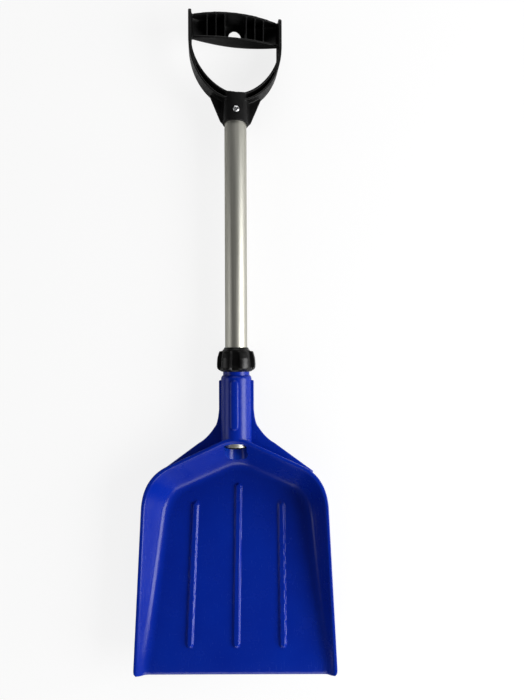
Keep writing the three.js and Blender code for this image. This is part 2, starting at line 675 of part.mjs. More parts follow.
function makeGrip(material) {
  const eye = plate(eyeOutline(EYE_HALF_WIDTH, EYE_DROP, GRIP_TOP_Y + 10), -30, 30);
  const [upperPocket, lowerPocket] = armPockets();
  const frame = armPlate().intersect(sideProfile()).subtract(upperPocket).subtract(lowerPocket);
  const socketTop = EYE_CENTRE_Y - EYE_DROP + ARM_FLANGE;
  const socket = cylinderAlongY(GRIP_SOCKET_R, GRIP_MOUTH_Y, socketTop);
  const yoke = unite([frame, socket, yokeFins()]).subtract(eye);
  const reach = (EYE_HALF_WIDTH + ARM_HALF_WIDTH) / 2;
  const bar = barBody(0, reach, 0).subtract(barBody(BAR_WALL, EYE_HALF_WIDTH - 0.5, 2 * BAR_FRONT_MID));
  const middleY = (BAR_BOTTOM_Y + BAR_TOP_Y) / 2;
  const hole = cylinderAlongZ(HANG_HOLE_R, 0, middleY, -2 * BAR_BACK_MID, 0);
  const bore = cylinderAlongY(BORE_R, GRIP_MOUTH_Y - 1, GRIP_MOUTH_Y + GRIP_BORE_DEPTH);
  const screwHole = cylinderAlongZ(SCREW_HOLE_R, 0, SCREW_Y, 0, 2 * GRIP_SOCKET_R);
  const whole = unite([yoke, bar, barRibs()]);
  return meshOf('grip', whole.subtract(hole).subtract(bore).subtract(screwHole), material);
}

function makeScrew(material) {
  const seatZ = GRIP_SOCKET_R + SEAT_GAP;
  const tipZ = TUBE_BORE_R - SCREW_TIP_PAST_TUBE;
  const turnedScrew = new THREE.LatheGeometry([
    [0, tipZ],
    [SCREW_SHANK_R, tipZ + 2.5],
    [SCREW_SHANK_R, seatZ],
    [SCREW_HEAD_R, seatZ],
    [SCREW_HEAD_R * 0.92, seatZ + SCREW_HEAD_HEIGHT * 0.5],
    [SCREW_HEAD_R * 0.62, seatZ + SCREW_HEAD_HEIGHT * 0.9],
    [0, seatZ + SCREW_HEAD_HEIGHT],
  ].map(([r, z]) => new THREE.Vector2(r, z)), 24);
  const body = outward(turnedScrew);
  body.rotateX(Math.PI / 2);
  const bars = [0, Math.PI / 2].map((angle) => {
    const bar = new THREE.BoxGeometry(RECESS_LENGTH, RECESS_WIDTH, 2 * RECESS_DEPTH);
    bar.rotateZ(angle + Math.PI / 5);
    bar.translate(0, 0, seatZ + SCREW_HEAD_HEIGHT);
    return solidOf(bar);
  });
  const mesh = meshOf('grip_screw', solidOf(body).subtract(unite(bars)), material);
  mesh.position.y = SCREW_Y;
  return mesh;
}

// ---- Materials ---------------------------------------------------------------------------

function bluePlastic() {
  return new THREE.MeshStandardMaterial({ color: 0x0b3fc4, roughness: 0.3, metalness: 0 });
}

function blackPlastic(roughness) {
  return new THREE.MeshStandardMaterial({ color: 0x17191a, roughness, metalness: 0 });
}

function palePlastic() {
  return new THREE.MeshStandardMaterial({ color: 0xd9d6c8, roughness: 0.45, metalness: 0 });
}

function satinAluminium() {
  return new THREE.MeshStandardMaterial({ color: 0xb4b5ae, roughness: 0.38, metalness: 1 });
}

function brightSteel() {
  return new THREE.MeshStandardMaterial({ color: 0xcfd1d2, roughness: 0.3, metalness: 1 });
}

// ---- The shovel ----------------------------------------------------------------------------

function makeShovel() {
  const shovel = new THREE.Group();
  shovel.add(makeScoop(bluePlastic()));
  shovel.add(makeClampNut(blackPlastic(0.35)));
  shovel.add(makeClampRing(palePlastic()));
  shovel.add(makeEndPlug(blackPlastic(0.5)));
  const shaft = new THREE.Group();
  shaft.rotation.y = GRIP_TWIST;
  shaft.add(makeTube(satinAluminium()));
  shaft.add(makeGrip(blackPlastic(0.55)));
  shaft.add(makeScrew(brightSteel()));
  shovel.add(shaft);
  const bounds = new THREE.Box3().setFromObject(shovel, true);
  const middle = bounds.getCenter(new THREE.Vector3());
  shovel.position.set(-middle.x, -middle.y, -bounds.min.z);
  return shovel;
}

export default makeShovel();
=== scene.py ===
"""Camp shovel: fine surfaces, finishes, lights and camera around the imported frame."""
import json
import math

import bpy
import numpy as np
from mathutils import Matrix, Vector


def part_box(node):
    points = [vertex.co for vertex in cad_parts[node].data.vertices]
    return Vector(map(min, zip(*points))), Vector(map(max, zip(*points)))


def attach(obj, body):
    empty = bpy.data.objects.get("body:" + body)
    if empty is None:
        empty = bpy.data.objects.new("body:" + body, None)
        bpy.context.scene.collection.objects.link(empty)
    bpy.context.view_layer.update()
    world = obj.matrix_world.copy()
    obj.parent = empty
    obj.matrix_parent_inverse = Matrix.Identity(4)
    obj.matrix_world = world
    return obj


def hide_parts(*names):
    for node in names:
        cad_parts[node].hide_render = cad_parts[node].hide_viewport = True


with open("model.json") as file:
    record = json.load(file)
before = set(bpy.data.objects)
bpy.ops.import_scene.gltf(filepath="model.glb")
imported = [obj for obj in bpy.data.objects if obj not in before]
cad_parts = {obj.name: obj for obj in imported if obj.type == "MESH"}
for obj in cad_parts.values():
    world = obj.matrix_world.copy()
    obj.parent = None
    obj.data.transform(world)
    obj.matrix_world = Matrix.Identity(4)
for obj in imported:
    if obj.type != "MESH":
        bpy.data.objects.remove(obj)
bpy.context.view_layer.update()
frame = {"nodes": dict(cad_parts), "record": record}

bl_info = {
    "name": "Camp Shovel",
    "version": (1, 0, 0),
    "blender": (4, 5, 0),
    "location": "View3D > Sidebar > Shovel",
    "description": "Moulded scoop shovel with a telescoping tube shaft and a D-grip",
    "category": "Object",
}

MM = 0.001

# The frame's datum: the shaft's axis, and the height along it that the sizes are taken from.
TUBE_LOW, TUBE_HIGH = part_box("shaft_tube")
NUT_LOW, NUT_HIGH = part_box("clamp_nut")
PLUG_LOW, PLUG_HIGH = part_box("end_plug")
NUT_ABOVE_DATUM = 3.5 * MM
AXIS_Z = (TUBE_LOW.z + TUBE_HIGH.z) / 2
DATUM_Y = NUT_HIGH.y - NUT_ABOVE_DATUM
TUBE_RADIUS = 14 * MM
RUNNING_GAP = 0.3 * MM
THREAD_GAP = 0.55 * MM
GRIP_TWIST = math.radians(11)


# ---- Sizes and colours a user would change ------------------------------------------------

def length(name, description, default):
    return bpy.props.FloatProperty(
        name=name, description=description, default=default, unit="LENGTH", precision=5)


def angle(name, description, degrees):
    return bpy.props.FloatProperty(
        name=name, description=description, default=math.radians(degrees), unit="ROTATION")


def colour(name, description, default):
    return bpy.props.FloatVectorProperty(
        name=name, description=description, default=default, subtype="COLOR", size=3, min=0, max=1)


class ScoopSizes(bpy.types.PropertyGroup):
    rim_height: length("Rim height", "Rim plane above the shaft's axis", 19 * MM)
    rim_apex: length("Rim apex", "Gable of the rim, along the shaft", -105.4 * MM)
    rim_gable: angle("Rim gable", "Slope of the rim's gabled back", 24.9)
    rim_half: length("Rim half width", "Half the rim's width at the mouth", 127.5 * MM)
    rim_flare: angle("Rim flare", "Angle of the rim's sides to the shaft", 2.9)
    fold_apex: length("Fold apex", "Gable of the fold between back wall and floor", -146 * MM)
    fold_height: length("Fold height", "Floor's lowest point from the shaft's axis", -23.1 * MM)
    floor_half: length("Floor half width", "Half the floor's width at the mouth", 115.4 * MM)
    floor_flare: angle("Floor flare", "Angle of the floor's sides to the shaft", 5.6)
    floor_rise: angle("Floor rise", "Slope of the floor towards the mouth", 7.7)
    fold_gable: angle("Fold gable", "Slope of the floor's gabled back", 23.6)
    apex_round: length("Apex round", "Half width of the rounded gable top", 18 * MM)
    fillet: length("Fillet", "Reach of the fillet between wall and floor", 9 * MM)
    wall: length("Wall", "Moulded wall thickness", 3 * MM)
    lip_out: length("Lip out", "How far the rim's lip stands out", 1.2 * MM)
    lip_depth: length("Lip depth", "Height of the rim's lip", 3.5 * MM)
    floor_reach: length("Floor reach", "Floor's front edge past the wall tips", 3.2 * MM)
    bead_half: length("Bead half width", "Half the width of a floor bead", 4.65 * MM)
    bead_height: length("Bead height", "Height of a floor bead", 2.6 * MM)
    bead_spacing: length("Bead spacing", "Side beads from the centre line", 56 * MM)
    bead_end: length("Bead end", "Front end of the beads, along the shaft", -376 * MM)


class SocketSizes(bpy.types.PropertyGroup):
    radius_top: length("Socket radius", "Outer radius at the socket's top", 19.3 * MM)
    radius_bottom: length("Socket foot radius", "Outer radius at the rim", 19.8 * MM)
    fin_half: length("Fin half width", "Half the width over the socket's fins", 22.2 * MM)
    gusset_thickness: length("Gusset thickness", "Thickness of fins and gusset", 3 * MM)
    rib_half: length("Rib half width", "Half the width of the socket's front rib", 5.2 * MM)
    rib_height: length("Rib height", "How far the front rib stands out", 1.9 * MM)
    thread_pitch: length("Thread pitch", "Travel of the nut in one turn", 4 * MM)
    thread_crest: length("Thread crest radius", "Outer radius of the neck's thread", 16.7 * MM)
    thread_depth: length("Thread depth", "Depth of the thread", 1.1 * MM)


class NutSizes(bpy.types.PropertyGroup):
    lobes: bpy.props.IntProperty(name="Lobes", description="Finger lobes round the nut", default=6, min=3)
    lobe_arc: angle("Lobe arc", "Width of one lobe", 34)
    lobe_start: angle("Lobe start", "First lobe from the front", 33)
    edge_arc: angle("Edge arc", "Width of a lobe's rounded flank", 5)


class GripSizes(bpy.types.PropertyGroup):
    eye_half: length("Eye half width", "Half the finger opening's width", 54.4 * MM)
    eye_drop: length("Eye drop", "Depth of the finger opening's curve", 61.2 * MM)
    eye_centre: length("Eye centre", "Centre line of the opening's curve, along the shaft", 384.4 * MM)
    eye_power: bpy.props.FloatProperty(
        name="Eye power", description="2 is an ellipse, less is pointed", default=1.75)
    arm_centre: length("Arm centre", "Centre line of the arms' curve, along the shaft", 388 * MM)
    arm_half: length("Arm half width", "Half the grip's width", 58.4 * MM)
    arm_drop: length("Arm drop", "Depth of the arms' outer curve", 74.5 * MM)
    half_depth: length("Half depth", "Half the arms' depth", 12.5 * MM)
    flange: length("Flange", "Thickness of the arms' flanges", 2.6 * MM)
    top: length("Top", "Top of the ears, along the shaft", 424.5 * MM)
    mouth: length("Mouth", "Mouth of the grip's socket, along the shaft", 288 * MM)
    socket_radius: length("Socket radius", "Outer radius of the grip's socket", 16.6 * MM)
    voxel: length("Surface step", "Step of the moulded surface", 0.72 * MM)


class Finishes(bpy.types.PropertyGroup):
    blue: colour("Blue plastic", "Scoop moulding", (0.0008, 0.018, 0.32))
    blue_light: colour("Blue plastic, scuffed", "Scuffed and worn places", (0.004, 0.045, 0.42))
    black: colour("Black plastic", "Nut, plug and grip mouldings", (0.0028, 0.0028, 0.0029))
    black_light: colour("Black plastic, worn", "Worn edges and scuffs", (0.016, 0.016, 0.0155))
    aluminium: colour("Aluminium", "Shaft tube", (0.56, 0.55, 0.49))
    steel: colour("Steel", "Grip screw", (0.72, 0.73, 0.74))
    natural: colour("Natural plastic", "Clamp ring", (0.66, 0.63, 0.54))


class StageSettings(bpy.types.PropertyGroup):
    camera_height: length("Camera height", "Camera above the shaft's axis", 665 * MM)
    camera_side: length("Camera side", "Camera to the right of the shaft", 90 * MM)
    roll: angle("Camera roll", "Turn of the frame about the line of sight", -0.2)
    framing: bpy.props.FloatProperty(name="Framing", description="Horizontal shift of the frame", default=-0.063)
    lens: bpy.props.FloatProperty(name="Lens", description="Focal length in mm", default=26.74)
    key_power: bpy.props.FloatProperty(name="Key power", description="Right window", default=27, unit="POWER")
    fill_power: bpy.props.FloatProperty(name="Fill power", description="Each soft fill", default=7, unit="POWER")
    sky: bpy.props.FloatProperty(name="Sky", description="Strength of the surround", default=0.05)


# ---- Modelling helpers ------------------------------------------------------------------------

def deselect_all():
    if bpy.context.object and bpy.context.object.mode != "OBJECT":
        bpy.ops.object.mode_set(mode="OBJECT")
    bpy.ops.object.select_all(action="DESELECT")


def take(obj):
    """Makes obj the one selected, active object."""
    deselect_all()
    obj.select_set(True)
    bpy.context.view_layer.objects.active = obj
    return obj


def named(name):
    obj = bpy.context.object
    obj.name = name
    obj.data.name = name
    return obj


def place_points(obj, points):
    flat = np.asarray(points, dtype=np.float32).ravel()
    obj.data.vertices.foreach_set("co", flat)
    obj.data.update()


def mesh_points(obj):
    flat = np.empty(len(obj.data.vertices) * 3, dtype=np.float32)
    obj.data.vertices.foreach_get("co", flat)
    return flat.reshape(-1, 3).astype(float)


def clean(obj, merge=0.00002):
    """Merges doubles and turns the faces outward."""
    take(obj)
    bpy.ops.object.mode_set(mode="EDIT")
    bpy.ops.mesh.select_all(action="SELECT")
    bpy.ops.mesh.remove_doubles(threshold=merge)
    bpy.ops.mesh.normals_make_consistent(inside=False)
    bpy.ops.object.mode_set(mode="OBJECT")
    return obj


def apply_modifier(obj, kind, **settings):
    take(obj)
    modifier = obj.modifiers.new(kind.title(), kind)
    for key, value in settings.items():
        setattr(modifier, key, value)
    bpy.ops.object.modifier_apply(modifier=modifier.name)
    return obj


def boolean(obj, tool, operation):
    apply_modifier(obj, "BOOLEAN", object=tool, operation=operation, solver="EXACT")
    bpy.data.meshes.remove(tool.data)
    return obj


def loop_of_points(name, points, fill):
    """A closed edge loop, or a flat face, through the given points."""
    deselect_all()
    bpy.ops.mesh.primitive_circle_add(vertices=len(points), fill_type=fill, location=(0, 0, 0))
    obj = named(name)
    place_points(obj, points)
    return obj


def turned(name, profile, sides, fine=None):
    """A body spun about the shaft's axis from a closed (radius, y) profile."""
    ring = refine(profile, fine) if fine else profile
    obj = loop_of_points(name, [(r, y, 0) for r, y in ring], "NOTHING")
    take(obj)
    bpy.ops.object.mode_set(mode="EDIT")
    bpy.ops.mesh.select_all(action="SELECT")
    bpy.ops.mesh.spin(
        steps=sides, angle=2 * math.pi, center=(0, 0, 0), axis=(0, 1, 0), use_auto_merge=True)
    bpy.ops.mesh.select_all(action="SELECT")
    bpy.ops.mesh.remove_doubles(threshold=0.00002)
    bpy.ops.mesh.delete_loose(use_verts=True, use_edges=True, use_faces=False)
    bpy.ops.object.mode_set(mode="OBJECT")
    return clean(obj)


def refine(profile, step):
    """Adds points to a closed profile so that no stretch is longer than step."""
    fine = []
    for (r0, y0), (r1, y1) in zip(profile, profile[1:] + profile[:1]):
        count = max(1, math.ceil(math.hypot(r1 - r0, y1 - y0) / step))
        fine += [(r0 + (r1 - r0) * i / count, y0 + (y1 - y0) * i / count) for i in range(count)]
    return fine


def slab(name, outline, low, high):
    """A flat outline in X and Y given a thickness in Z."""
    obj = loop_of_points(name, [(x, y, low) for x, y in outline], "NGON")
    take(obj)
    bpy.ops.object.mode_set(mode="EDIT")
    bpy.ops.mesh.select_all(action="SELECT")
    bpy.ops.mesh.extrude_region_move(TRANSFORM_OT_translate={"value": (0, 0, high - low)})
    bpy.ops.object.mode_set(mode="OBJECT")
    return clean(obj)


def hull(name, points):
    """The convex solid round a set of points."""
    deselect_all()
    bpy.ops.mesh.primitive_circle_add(vertices=len(points), fill_type="NOTHING")
    obj = named(name)
    place_points(obj, points)
    take(obj)
    bpy.ops.object.mode_set(mode="EDIT")
    bpy.ops.mesh.select_all(action="SELECT")
    bpy.ops.mesh.delete(type="EDGE_FACE")
    bpy.ops.mesh.select_all(action="SELECT")
    bpy.ops.mesh.convex_hull()
    bpy.ops.object.mode_set(mode="OBJECT")
    return clean(obj, merge=0.000001)


def block(name, low, high):
    deselect_all()
    bpy.ops.mesh.primitive_cube_add(size=1, location=(Vector(low) + Vector(high)) / 2)
    obj = named(name)
    obj.scale = Vector(high) - Vector(low)
    bpy.ops.object.transform_apply(location=True, rotation=True, scale=True)
    return obj


def rod(name, radius, low, high, axis="Y", sides=96, centre=(0, 0)):
    """A round bar along Y, or along Z through centre."""
    deselect_all()
    middle = (low + high) / 2
    along_y = axis == "Y"
    location = (0, middle, 0) if along_y else (centre[0], centre[1], middle)
    bpy.ops.mesh.primitive_cylinder_add(
        vertices=sides, radius=radius, depth=high - low, location=location,
        rotation=(math.pi / 2 if along_y else 0, 0, 0))
    obj = named(name)
    bpy.ops.object.transform_apply(location=True, rotation=True, scale=True)
    return obj


def seat(obj, twist=0.0):
    """Moves a piece that was built about its own axis to the shaft's place in the frame."""
    take(obj)
    obj.location = (0, DATUM_Y, AXIS_Z)
    obj.rotation_euler = (0, twist, 0)
    bpy.ops.object.transform_apply(location=True, rotation=True, scale=True)
    return obj


def smooth(obj, degrees):
    take(obj)
    bpy.ops.object.shade_smooth_by_angle(angle=math.radians(degrees))
    return obj


def finish_piece(obj, node, material, degrees=32):
    """Gives a finished piece its shading, its finish in a material slot and its body, and hides the node it
    stands for.
    """
    smooth(obj, degrees)
    obj.data.materials.clear()
    obj.data.materials.append(material)
    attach(obj, body_holding(node))
    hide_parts(node)
    return obj


def body_holding(node):
    bodies = frame["record"]["behaviour"]["bodies"]
    return next(body for body, nodes in bodies.items() if node in nodes)


def ease(value, low, high):
    """Smooth step from 0 at low to 1 at high."""
    t = np.clip((value - low) / (high - low), 0, 1)
    return t * t * (3 - 2 * t)


# ---- Scoop -------------------------------------------------------------------------------------

MOUTH = -405 * MM
SHOULDERS = {"rim": (34 * MM, 40 * MM), "fold": (21 * MM, 34 * MM)}
APEX_STEPS = 9
GABLE_STEPS = 14
SHOULDER_STEPS = 16
SIDE_STEPS = 92
WALL_STEPS = 7
FILLET_STEPS = 9
FLOOR_STEPS = 116
CENTRE_BEAD_START = -174.3 * MM
SIDE_BEAD_START = -197.7 * MM
BEAD_SPLAY = math.radians(0.95)
LIP_BEND = 14 * MM
BACK_WALL_REGION = -260 * MM
EDGE_ROUND = 3 * MM
TIP_IN = 3 * MM
TIP_BACK = 8 * MM


def bezier(a, b, c, t):
    return (1 - t) ** 2 * a + 2 * t * (1 - t) * b + t ** 2 * c


def gabled_outline(sizes, kind, offset, end_y=MOUTH):
    """Half outline from the gable's top to the mouth, one point per column of the skin."""
    if kind == "rim":
        apex_y, half, flare, gable = sizes.rim_apex, sizes.rim_half, sizes.rim_flare, sizes.rim_gable
    else:
        apex_y, half, flare, gable = sizes.fold_apex, sizes.floor_half, sizes.floor_flare, sizes.fold_gable
    shoulder_in, shoulder_down = SHOULDERS[kind]
    apex = apex_y + offset / math.cos(gable)
    reach = half + offset / math.cos(flare)
    slope = math.tan(gable)
    lean = math.tan(flare)
    corner_y = (apex - slope * (reach + lean * MOUTH)) / (1 - slope * lean)
    corner = np.array([reach - (corner_y - MOUTH) * lean, corner_y])
    along = np.array([math.cos(gable), -math.sin(gable)])
    down = np.array([math.sin(flare), -math.cos(flare)])
    top_y = apex - sizes.apex_round * slope
    left, top, right = (
        np.array([side * sizes.apex_round, y]) for side, y in ((-1, top_y), (0, apex), (1, top_y)))
    before = corner - shoulder_in * along
    after = corner + shoulder_down * down
    end = np.array([reach - (end_y - MOUTH) * lean, end_y])
    points = [bezier(left, top, right, 0.5 + 0.5 * i / APEX_STEPS) for i in range(APEX_STEPS)]
    points += [right + (before - right) * i / GABLE_STEPS for i in range(GABLE_STEPS)]
    points += [bezier(before, corner, after, i / SHOULDER_STEPS) for i in range(SHOULDER_STEPS)]
    points += [after + (end - after) * i / SIDE_STEPS for i in range(SIDE_STEPS + 1)]
    return np.array(points)


def floor_height(sizes, y):
    return sizes.fold_height + (sizes.fold_apex - y) * math.tan(sizes.floor_rise)


def with_height(points, z):
    return np.column_stack([points, np.broadcast_to(z, len(points))])


def bead_rise(sizes, x, y, half, height):
    """Height of the three round-ended floor beads at each point."""
    rise = np.zeros_like(x)
    splay = math.tan(BEAD_SPLAY)
    for side, start in ((0, CENTRE_BEAD_START), (1, SIDE_BEAD_START), (-1, SIDE_BEAD_START)):
        low, high = sizes.bead_end + sizes.bead_half, start - sizes.bead_half
        line_y = np.clip(y, low, high)
        line_x = side * (sizes.bead_spacing + splay * (start - line_y))
        away = np.hypot(x - line_x, y - line_y)
        rise = np.maximum(rise, height * (1 - ease(away, 0.5 * half, 1.06 * half)))
    return rise


def section_lines(sizes, offset):
    """The lines of rim, fold and floor that one skin runs through, column by column."""
    drop = offset / math.cos(sizes.floor_rise)
    rim_inset = sizes.lip_out + sizes.wall - offset
    fold_xy = gabled_outline(sizes, "fold", offset)
    floor_xy = gabled_outline(sizes, "fold", offset - sizes.fillet)
    rim = with_height(gabled_outline(sizes, "rim", -rim_inset), sizes.rim_height)
    fold = with_height(fold_xy, floor_height(sizes, fold_xy[:, 1]) - drop)
    floor = with_height(floor_xy, floor_height(sizes, floor_xy[:, 1]) - drop)
    return rim, fold, floor


def skin_rows(sizes, offset, bead_half, bead_height, sign):
    """Rows of one skin of the bowl, from the top of the wall to the floor's centre line."""
    rim, fold, floor = section_lines(sizes, offset)
    drop = offset / math.cos(sizes.floor_rise)
    height = np.linalg.norm(rim - fold, axis=1)
    reach = np.minimum(sizes.fillet, 0.6 * height)[:, None]
    on_wall = fold + (rim - fold) * reach / height[:, None]
    on_floor = fold + (floor - fold) * reach / sizes.fillet
    top = rim + (fold - rim) * ((0.9 * MM if sign > 0 else sizes.lip_depth) / (rim - fold)[:, 2:3])
    rows = [top + (on_wall - top) * i / WALL_STEPS for i in range(WALL_STEPS)]
    rows += [bezier(on_wall, fold, on_floor, i / FILLET_STEPS) for i in range(FILLET_STEPS)]
    count = len(on_floor)
    gable_columns = APEX_STEPS + GABLE_STEPS + SHOULDER_STEPS
    column = np.arange(count)
    turn_y = on_floor[gable_columns, 1] - 22 * MM
    apex_y = on_floor[0, 1] - 30 * MM
    gable_y = apex_y + (turn_y - apex_y) * column / gable_columns
    side_y = turn_y + (MOUTH - turn_y) * (column - gable_columns) / SIDE_STEPS
    centre_y = np.where(column <= gable_columns, gable_y, side_y)
    centre = np.column_stack([np.zeros(count), centre_y, floor_height(sizes, centre_y) - drop])
    for i in range(FLOOR_STEPS + 1):
        row = on_floor + (centre - on_floor) * i / FLOOR_STEPS
        row[:, 2] += bead_rise(sizes, row[:, 0], row[:, 1], bead_half, bead_height)
        rows.append(row)
    return rows


def lip_rows(sizes):
    """Rows round the rim's lip, from under it on the outside to its inner edge."""
    section = (
        (-1.05, -3.5), (-0.45, -3.42), (-0.12, -3.15), (0, -2.7), (0, -1.0), (-0.1, -0.5), (-0.4, -0.15),
        (-0.9, 0), (-2.0, 0.05), (-3.2, 0), (-3.8, -0.12), (-4.12, -0.42),
    )
    outline = {o: gabled_outline(sizes, "rim", o * MM) for o, _ in section}
    return [with_height(outline[o], sizes.rim_height + z * MM) for o, z in section]


def shape_mouth(sizes, points):
    """Slopes the walls' front edges, rounds their tips and eases the floor's edge down."""
    x, y, z = points.T
    floor = floor_height(sizes, y)
    down = np.clip((sizes.rim_height - z) / (sizes.rim_height - floor), 0, 1)
    near = ease(-y, -(MOUTH + 16 * MM), -MOUTH)
    ahead = np.clip(MOUTH + LIP_BEND - y, 0, LIP_BEND) / LIP_BEND
    edge = np.clip(MOUTH + EDGE_ROUND - y, 0, EDGE_ROUND) / EDGE_ROUND
    on_floor = 1 - ease(np.abs(x), sizes.floor_half - 2 * MM, sizes.floor_half + 5 * MM)
    upper = z > floor - sizes.wall / 2
    back = np.clip((TIP_BACK - (y - MOUTH)) / TIP_BACK, 0, 1)
    side = sizes.rim_half - (y - MOUTH) * math.tan(sizes.rim_flare) - TIP_IN * (1 - np.sqrt(1 - back ** 2))
    points[:, 0] = np.clip(x, -side, side)
    points[:, 1] = y - sizes.floor_reach * near * down
    points[:, 2] = z - (0.9 * MM * ahead ** 2 + 1.1 * MM * edge ** 2 * upper) * on_floor
    return points


def with_front_edge(rows):
    """Adds a rounded front edge that zips each row to its partner on the other skin."""
    partners = rows[::-1]
    closed = []
    for row, partner in zip(rows, partners):
        middle = (row[-1] + partner[-1]) / 2
        rounded = row[-1] + (middle - row[-1]) * 0.5 + (0, -0.5 * MM, 0)
        closed.append(np.vstack([row, rounded, middle + (0, -0.7 * MM, 0)]))
    return closed


def blade_skin(sizes):
    """The bowl as one closed skin: outside, rim lip and inside, joined at the mouth."""
    outer = skin_rows(sizes, sizes.wall, 2.9 * MM, 2.0 * MM, -1)
    inner = skin_rows(sizes, 0, sizes.bead_half, sizes.bead_height, 1)
    half_rows = [shape_mouth(sizes, row) for row in outer[::-1] + lip_rows(sizes) + inner]
    rows = [np.vstack([(row * (-1, 1, 1))[:0:-1], row]) for row in with_front_edge(half_rows)]
    columns = len(rows[0])
    deselect_all()
    bpy.ops.mesh.primitive_grid_add(x_subdivisions=columns - 1, y_subdivisions=len(rows) - 1, size=2)
    obj = named("scoop_moulding")
    start = mesh_points(obj)
    column = np.rint((start[:, 0] + 1) / 2 * (columns - 1)).astype(int)
    row = np.rint((start[:, 1] + 1) / 2 * (len(rows) - 1)).astype(int)
    place_points(obj, np.array(rows)[row, column])
    return clean(obj, merge=0.00001)


def hollow_tool(sizes, offset):
    """A convex solid of the bowl's hollow, used to trim what joins the back wall from outside."""
    rim, fold, floor = section_lines(sizes, offset)
    on_wall = fold + (rim - fold) * (sizes.fillet / np.linalg.norm(rim - fold, axis=1))[:, None]
    rings = [rim + (0, 0, 80 * MM), rim] + [bezier(on_wall, fold, floor, i / 5) for i in range(6)]
    half = np.vstack(rings)
    back = half[half[:, 1] > BACK_WALL_REGION]
    return hull("hollow_tool", np.vstack([back, back * (-1, 1, 1)]))


def socket_solid(sizes):
    top = -32 * MM
    crest = sizes.thread_crest
    profile = [
        (0.004, -150 * MM), (sizes.radius_bottom, -150 * MM), (sizes.radius_top, top - 4.6 * MM),
        (sizes.radius_top - 0.2 * MM, top - 2.8 * MM), (sizes.radius_top - 0.7 * MM, top - 1.4 * MM),
        (sizes.radius_top - 1.6 * MM, top - 0.4 * MM), (crest + 0.5 * MM, top + 0.1 * MM),
        (crest + 0.12 * MM, top + 0.35 * MM), (crest, top + 1 * MM), (crest, -9 * MM), (0.004, -9 * MM),
    ]
    obj = turned("socket", profile, 120, fine=1.3 * MM)
    cut_thread(obj, sizes, -25 * MM, -9 * MM)
    return obj


def cut_thread(obj, sizes, low, high):
    """Shapes a smooth neck into a right-hand screw thread between two heights."""
    points = mesh_points(obj)
    x, y, z = points.T
    radius = np.hypot(x, z)
    turn = np.arctan2(x, z) / (2 * math.pi)
    wave = 0.5 + 0.5 * np.cos(2 * math.pi * (y / sizes.thread_pitch - turn))
    groove = sizes.thread_depth * (1 - ease(wave, 0.2, 0.8))
    lead = sizes.thread_depth * ease(y, high - 1.6 * MM, high)
    runs = ease(y, low - 0.6 * MM, low + 0.6 * MM) * (radius > sizes.thread_crest - 0.1 * MM)
    new = radius - runs * np.maximum(groove, lead)
    scale = np.where(radius > 0, new / np.maximum(radius, 1e-9), 1)
    place_points(obj, np.column_stack([x * scale, y, z * scale]))


def gusset_solid(sizes):
    """Fins along the socket that flare into the plate behind the back wall."""
    fin = sizes.fin_half
    waist, knee, toe = (np.array(p) * MM for p in ((28, -98), (48, -118.2), (98, -154.8)))
    top_corner = ((fin - 1.6 * MM, -38 * MM), (fin - 0.4 * MM, -38.5 * MM), (fin, -39.6 * MM))
    half = [np.array(point) for point in top_corner]
    start = np.array((fin, -75 * MM))
    half += [bezier(start, np.array((fin + 1.5 * MM, -94 * MM)), waist, i / 12) for i in range(12)]
    bend = np.array(((waist[0] + knee[0]) / 2 - 1 * MM, knee[1] + 6 * MM))
    half += [bezier(waist, bend, knee, i / 12) for i in range(13)]
    half += [toe, toe + np.array((-12 * MM, -20 * MM)), np.array((fin, -150 * MM))]
    outline = [tuple(p) for p in half] + [(-p[0], p[1]) for p in reversed(half)]
    obj = slab("gusset", outline, -sizes.gusset_thickness / 2, sizes.gusset_thickness / 2)
    return apply_modifier(
        obj, "BEVEL", width=0.8 * MM, segments=3, limit_method="ANGLE", angle_limit=math.radians(50))


def front_rib(sizes):
    """The long round-ended rib on the socket's front."""
    deselect_all()
    low, high = -100 * MM, -37 * MM
    bpy.ops.mesh.primitive_uv_sphere_add(
        segments=48, ring_count=24, radius=sizes.rib_half, location=(0, 0, 0))
    obj = named("front_rib")
    points = mesh_points(obj)
    y = points[:, 1]
    lower = np.where(y < -1e-6, low + sizes.rib_half, (low + high) / 2)
    points[:, 1] = y + np.where(y > 1e-6, high - sizes.rib_half, lower)
    half_depth = 2.3 * MM
    flat = np.abs(points[:, 2]) / sizes.rib_half
    points[:, 2] = np.sign(points[:, 2]) * half_depth * flat ** 0.8
    points[:, 2] += (sizes.radius_top + sizes.radius_bottom) / 2 + sizes.rib_height - half_depth
    place_points(obj, points)
    return clean(obj)


def tube_slot():
    """The straight-sided opening above the tube, where it comes out of the back wall."""
    half = TUBE_RADIUS + RUNNING_GAP
    return block("tube_slot", (-half, -127 * MM, -0.4 * MM), (half, -113.6 * MM, 15.3 * MM))


class SHOVEL_OT_scoop(bpy.types.Operator):
    """Makes the scoop: blade, walls, lip, beads, gusset, socket and threaded neck in one moulding"""
    bl_idname = "shovel.scoop"
    bl_label = "Scoop"

    def execute(self, context):
        sizes = context.scene.shovel_scoop
        socket_sizes = context.scene.shovel_socket
        support = socket_solid(socket_sizes)
        boolean(support, gusset_solid(socket_sizes), "UNION")
        boolean(support, front_rib(socket_sizes), "UNION")
        boolean(support, hollow_tool(sizes, 1.2 * MM), "DIFFERENCE")
        blade = blade_skin(sizes)
        boolean(blade, support, "UNION")
        boolean(blade, rod("bore", TUBE_RADIUS + RUNNING_GAP, -165 * MM, 10 * MM), "DIFFERENCE")
        boolean(blade, tube_slot(), "DIFFERENCE")
        seat(blade)
        finish_piece(blade, "scoop", blue_plastic(context.scene.shovel_finishes), degrees=38)
        return {"FINISHED"}


# ---- Clamp nut, ring, shaft and plug -----------------------------------------------------------

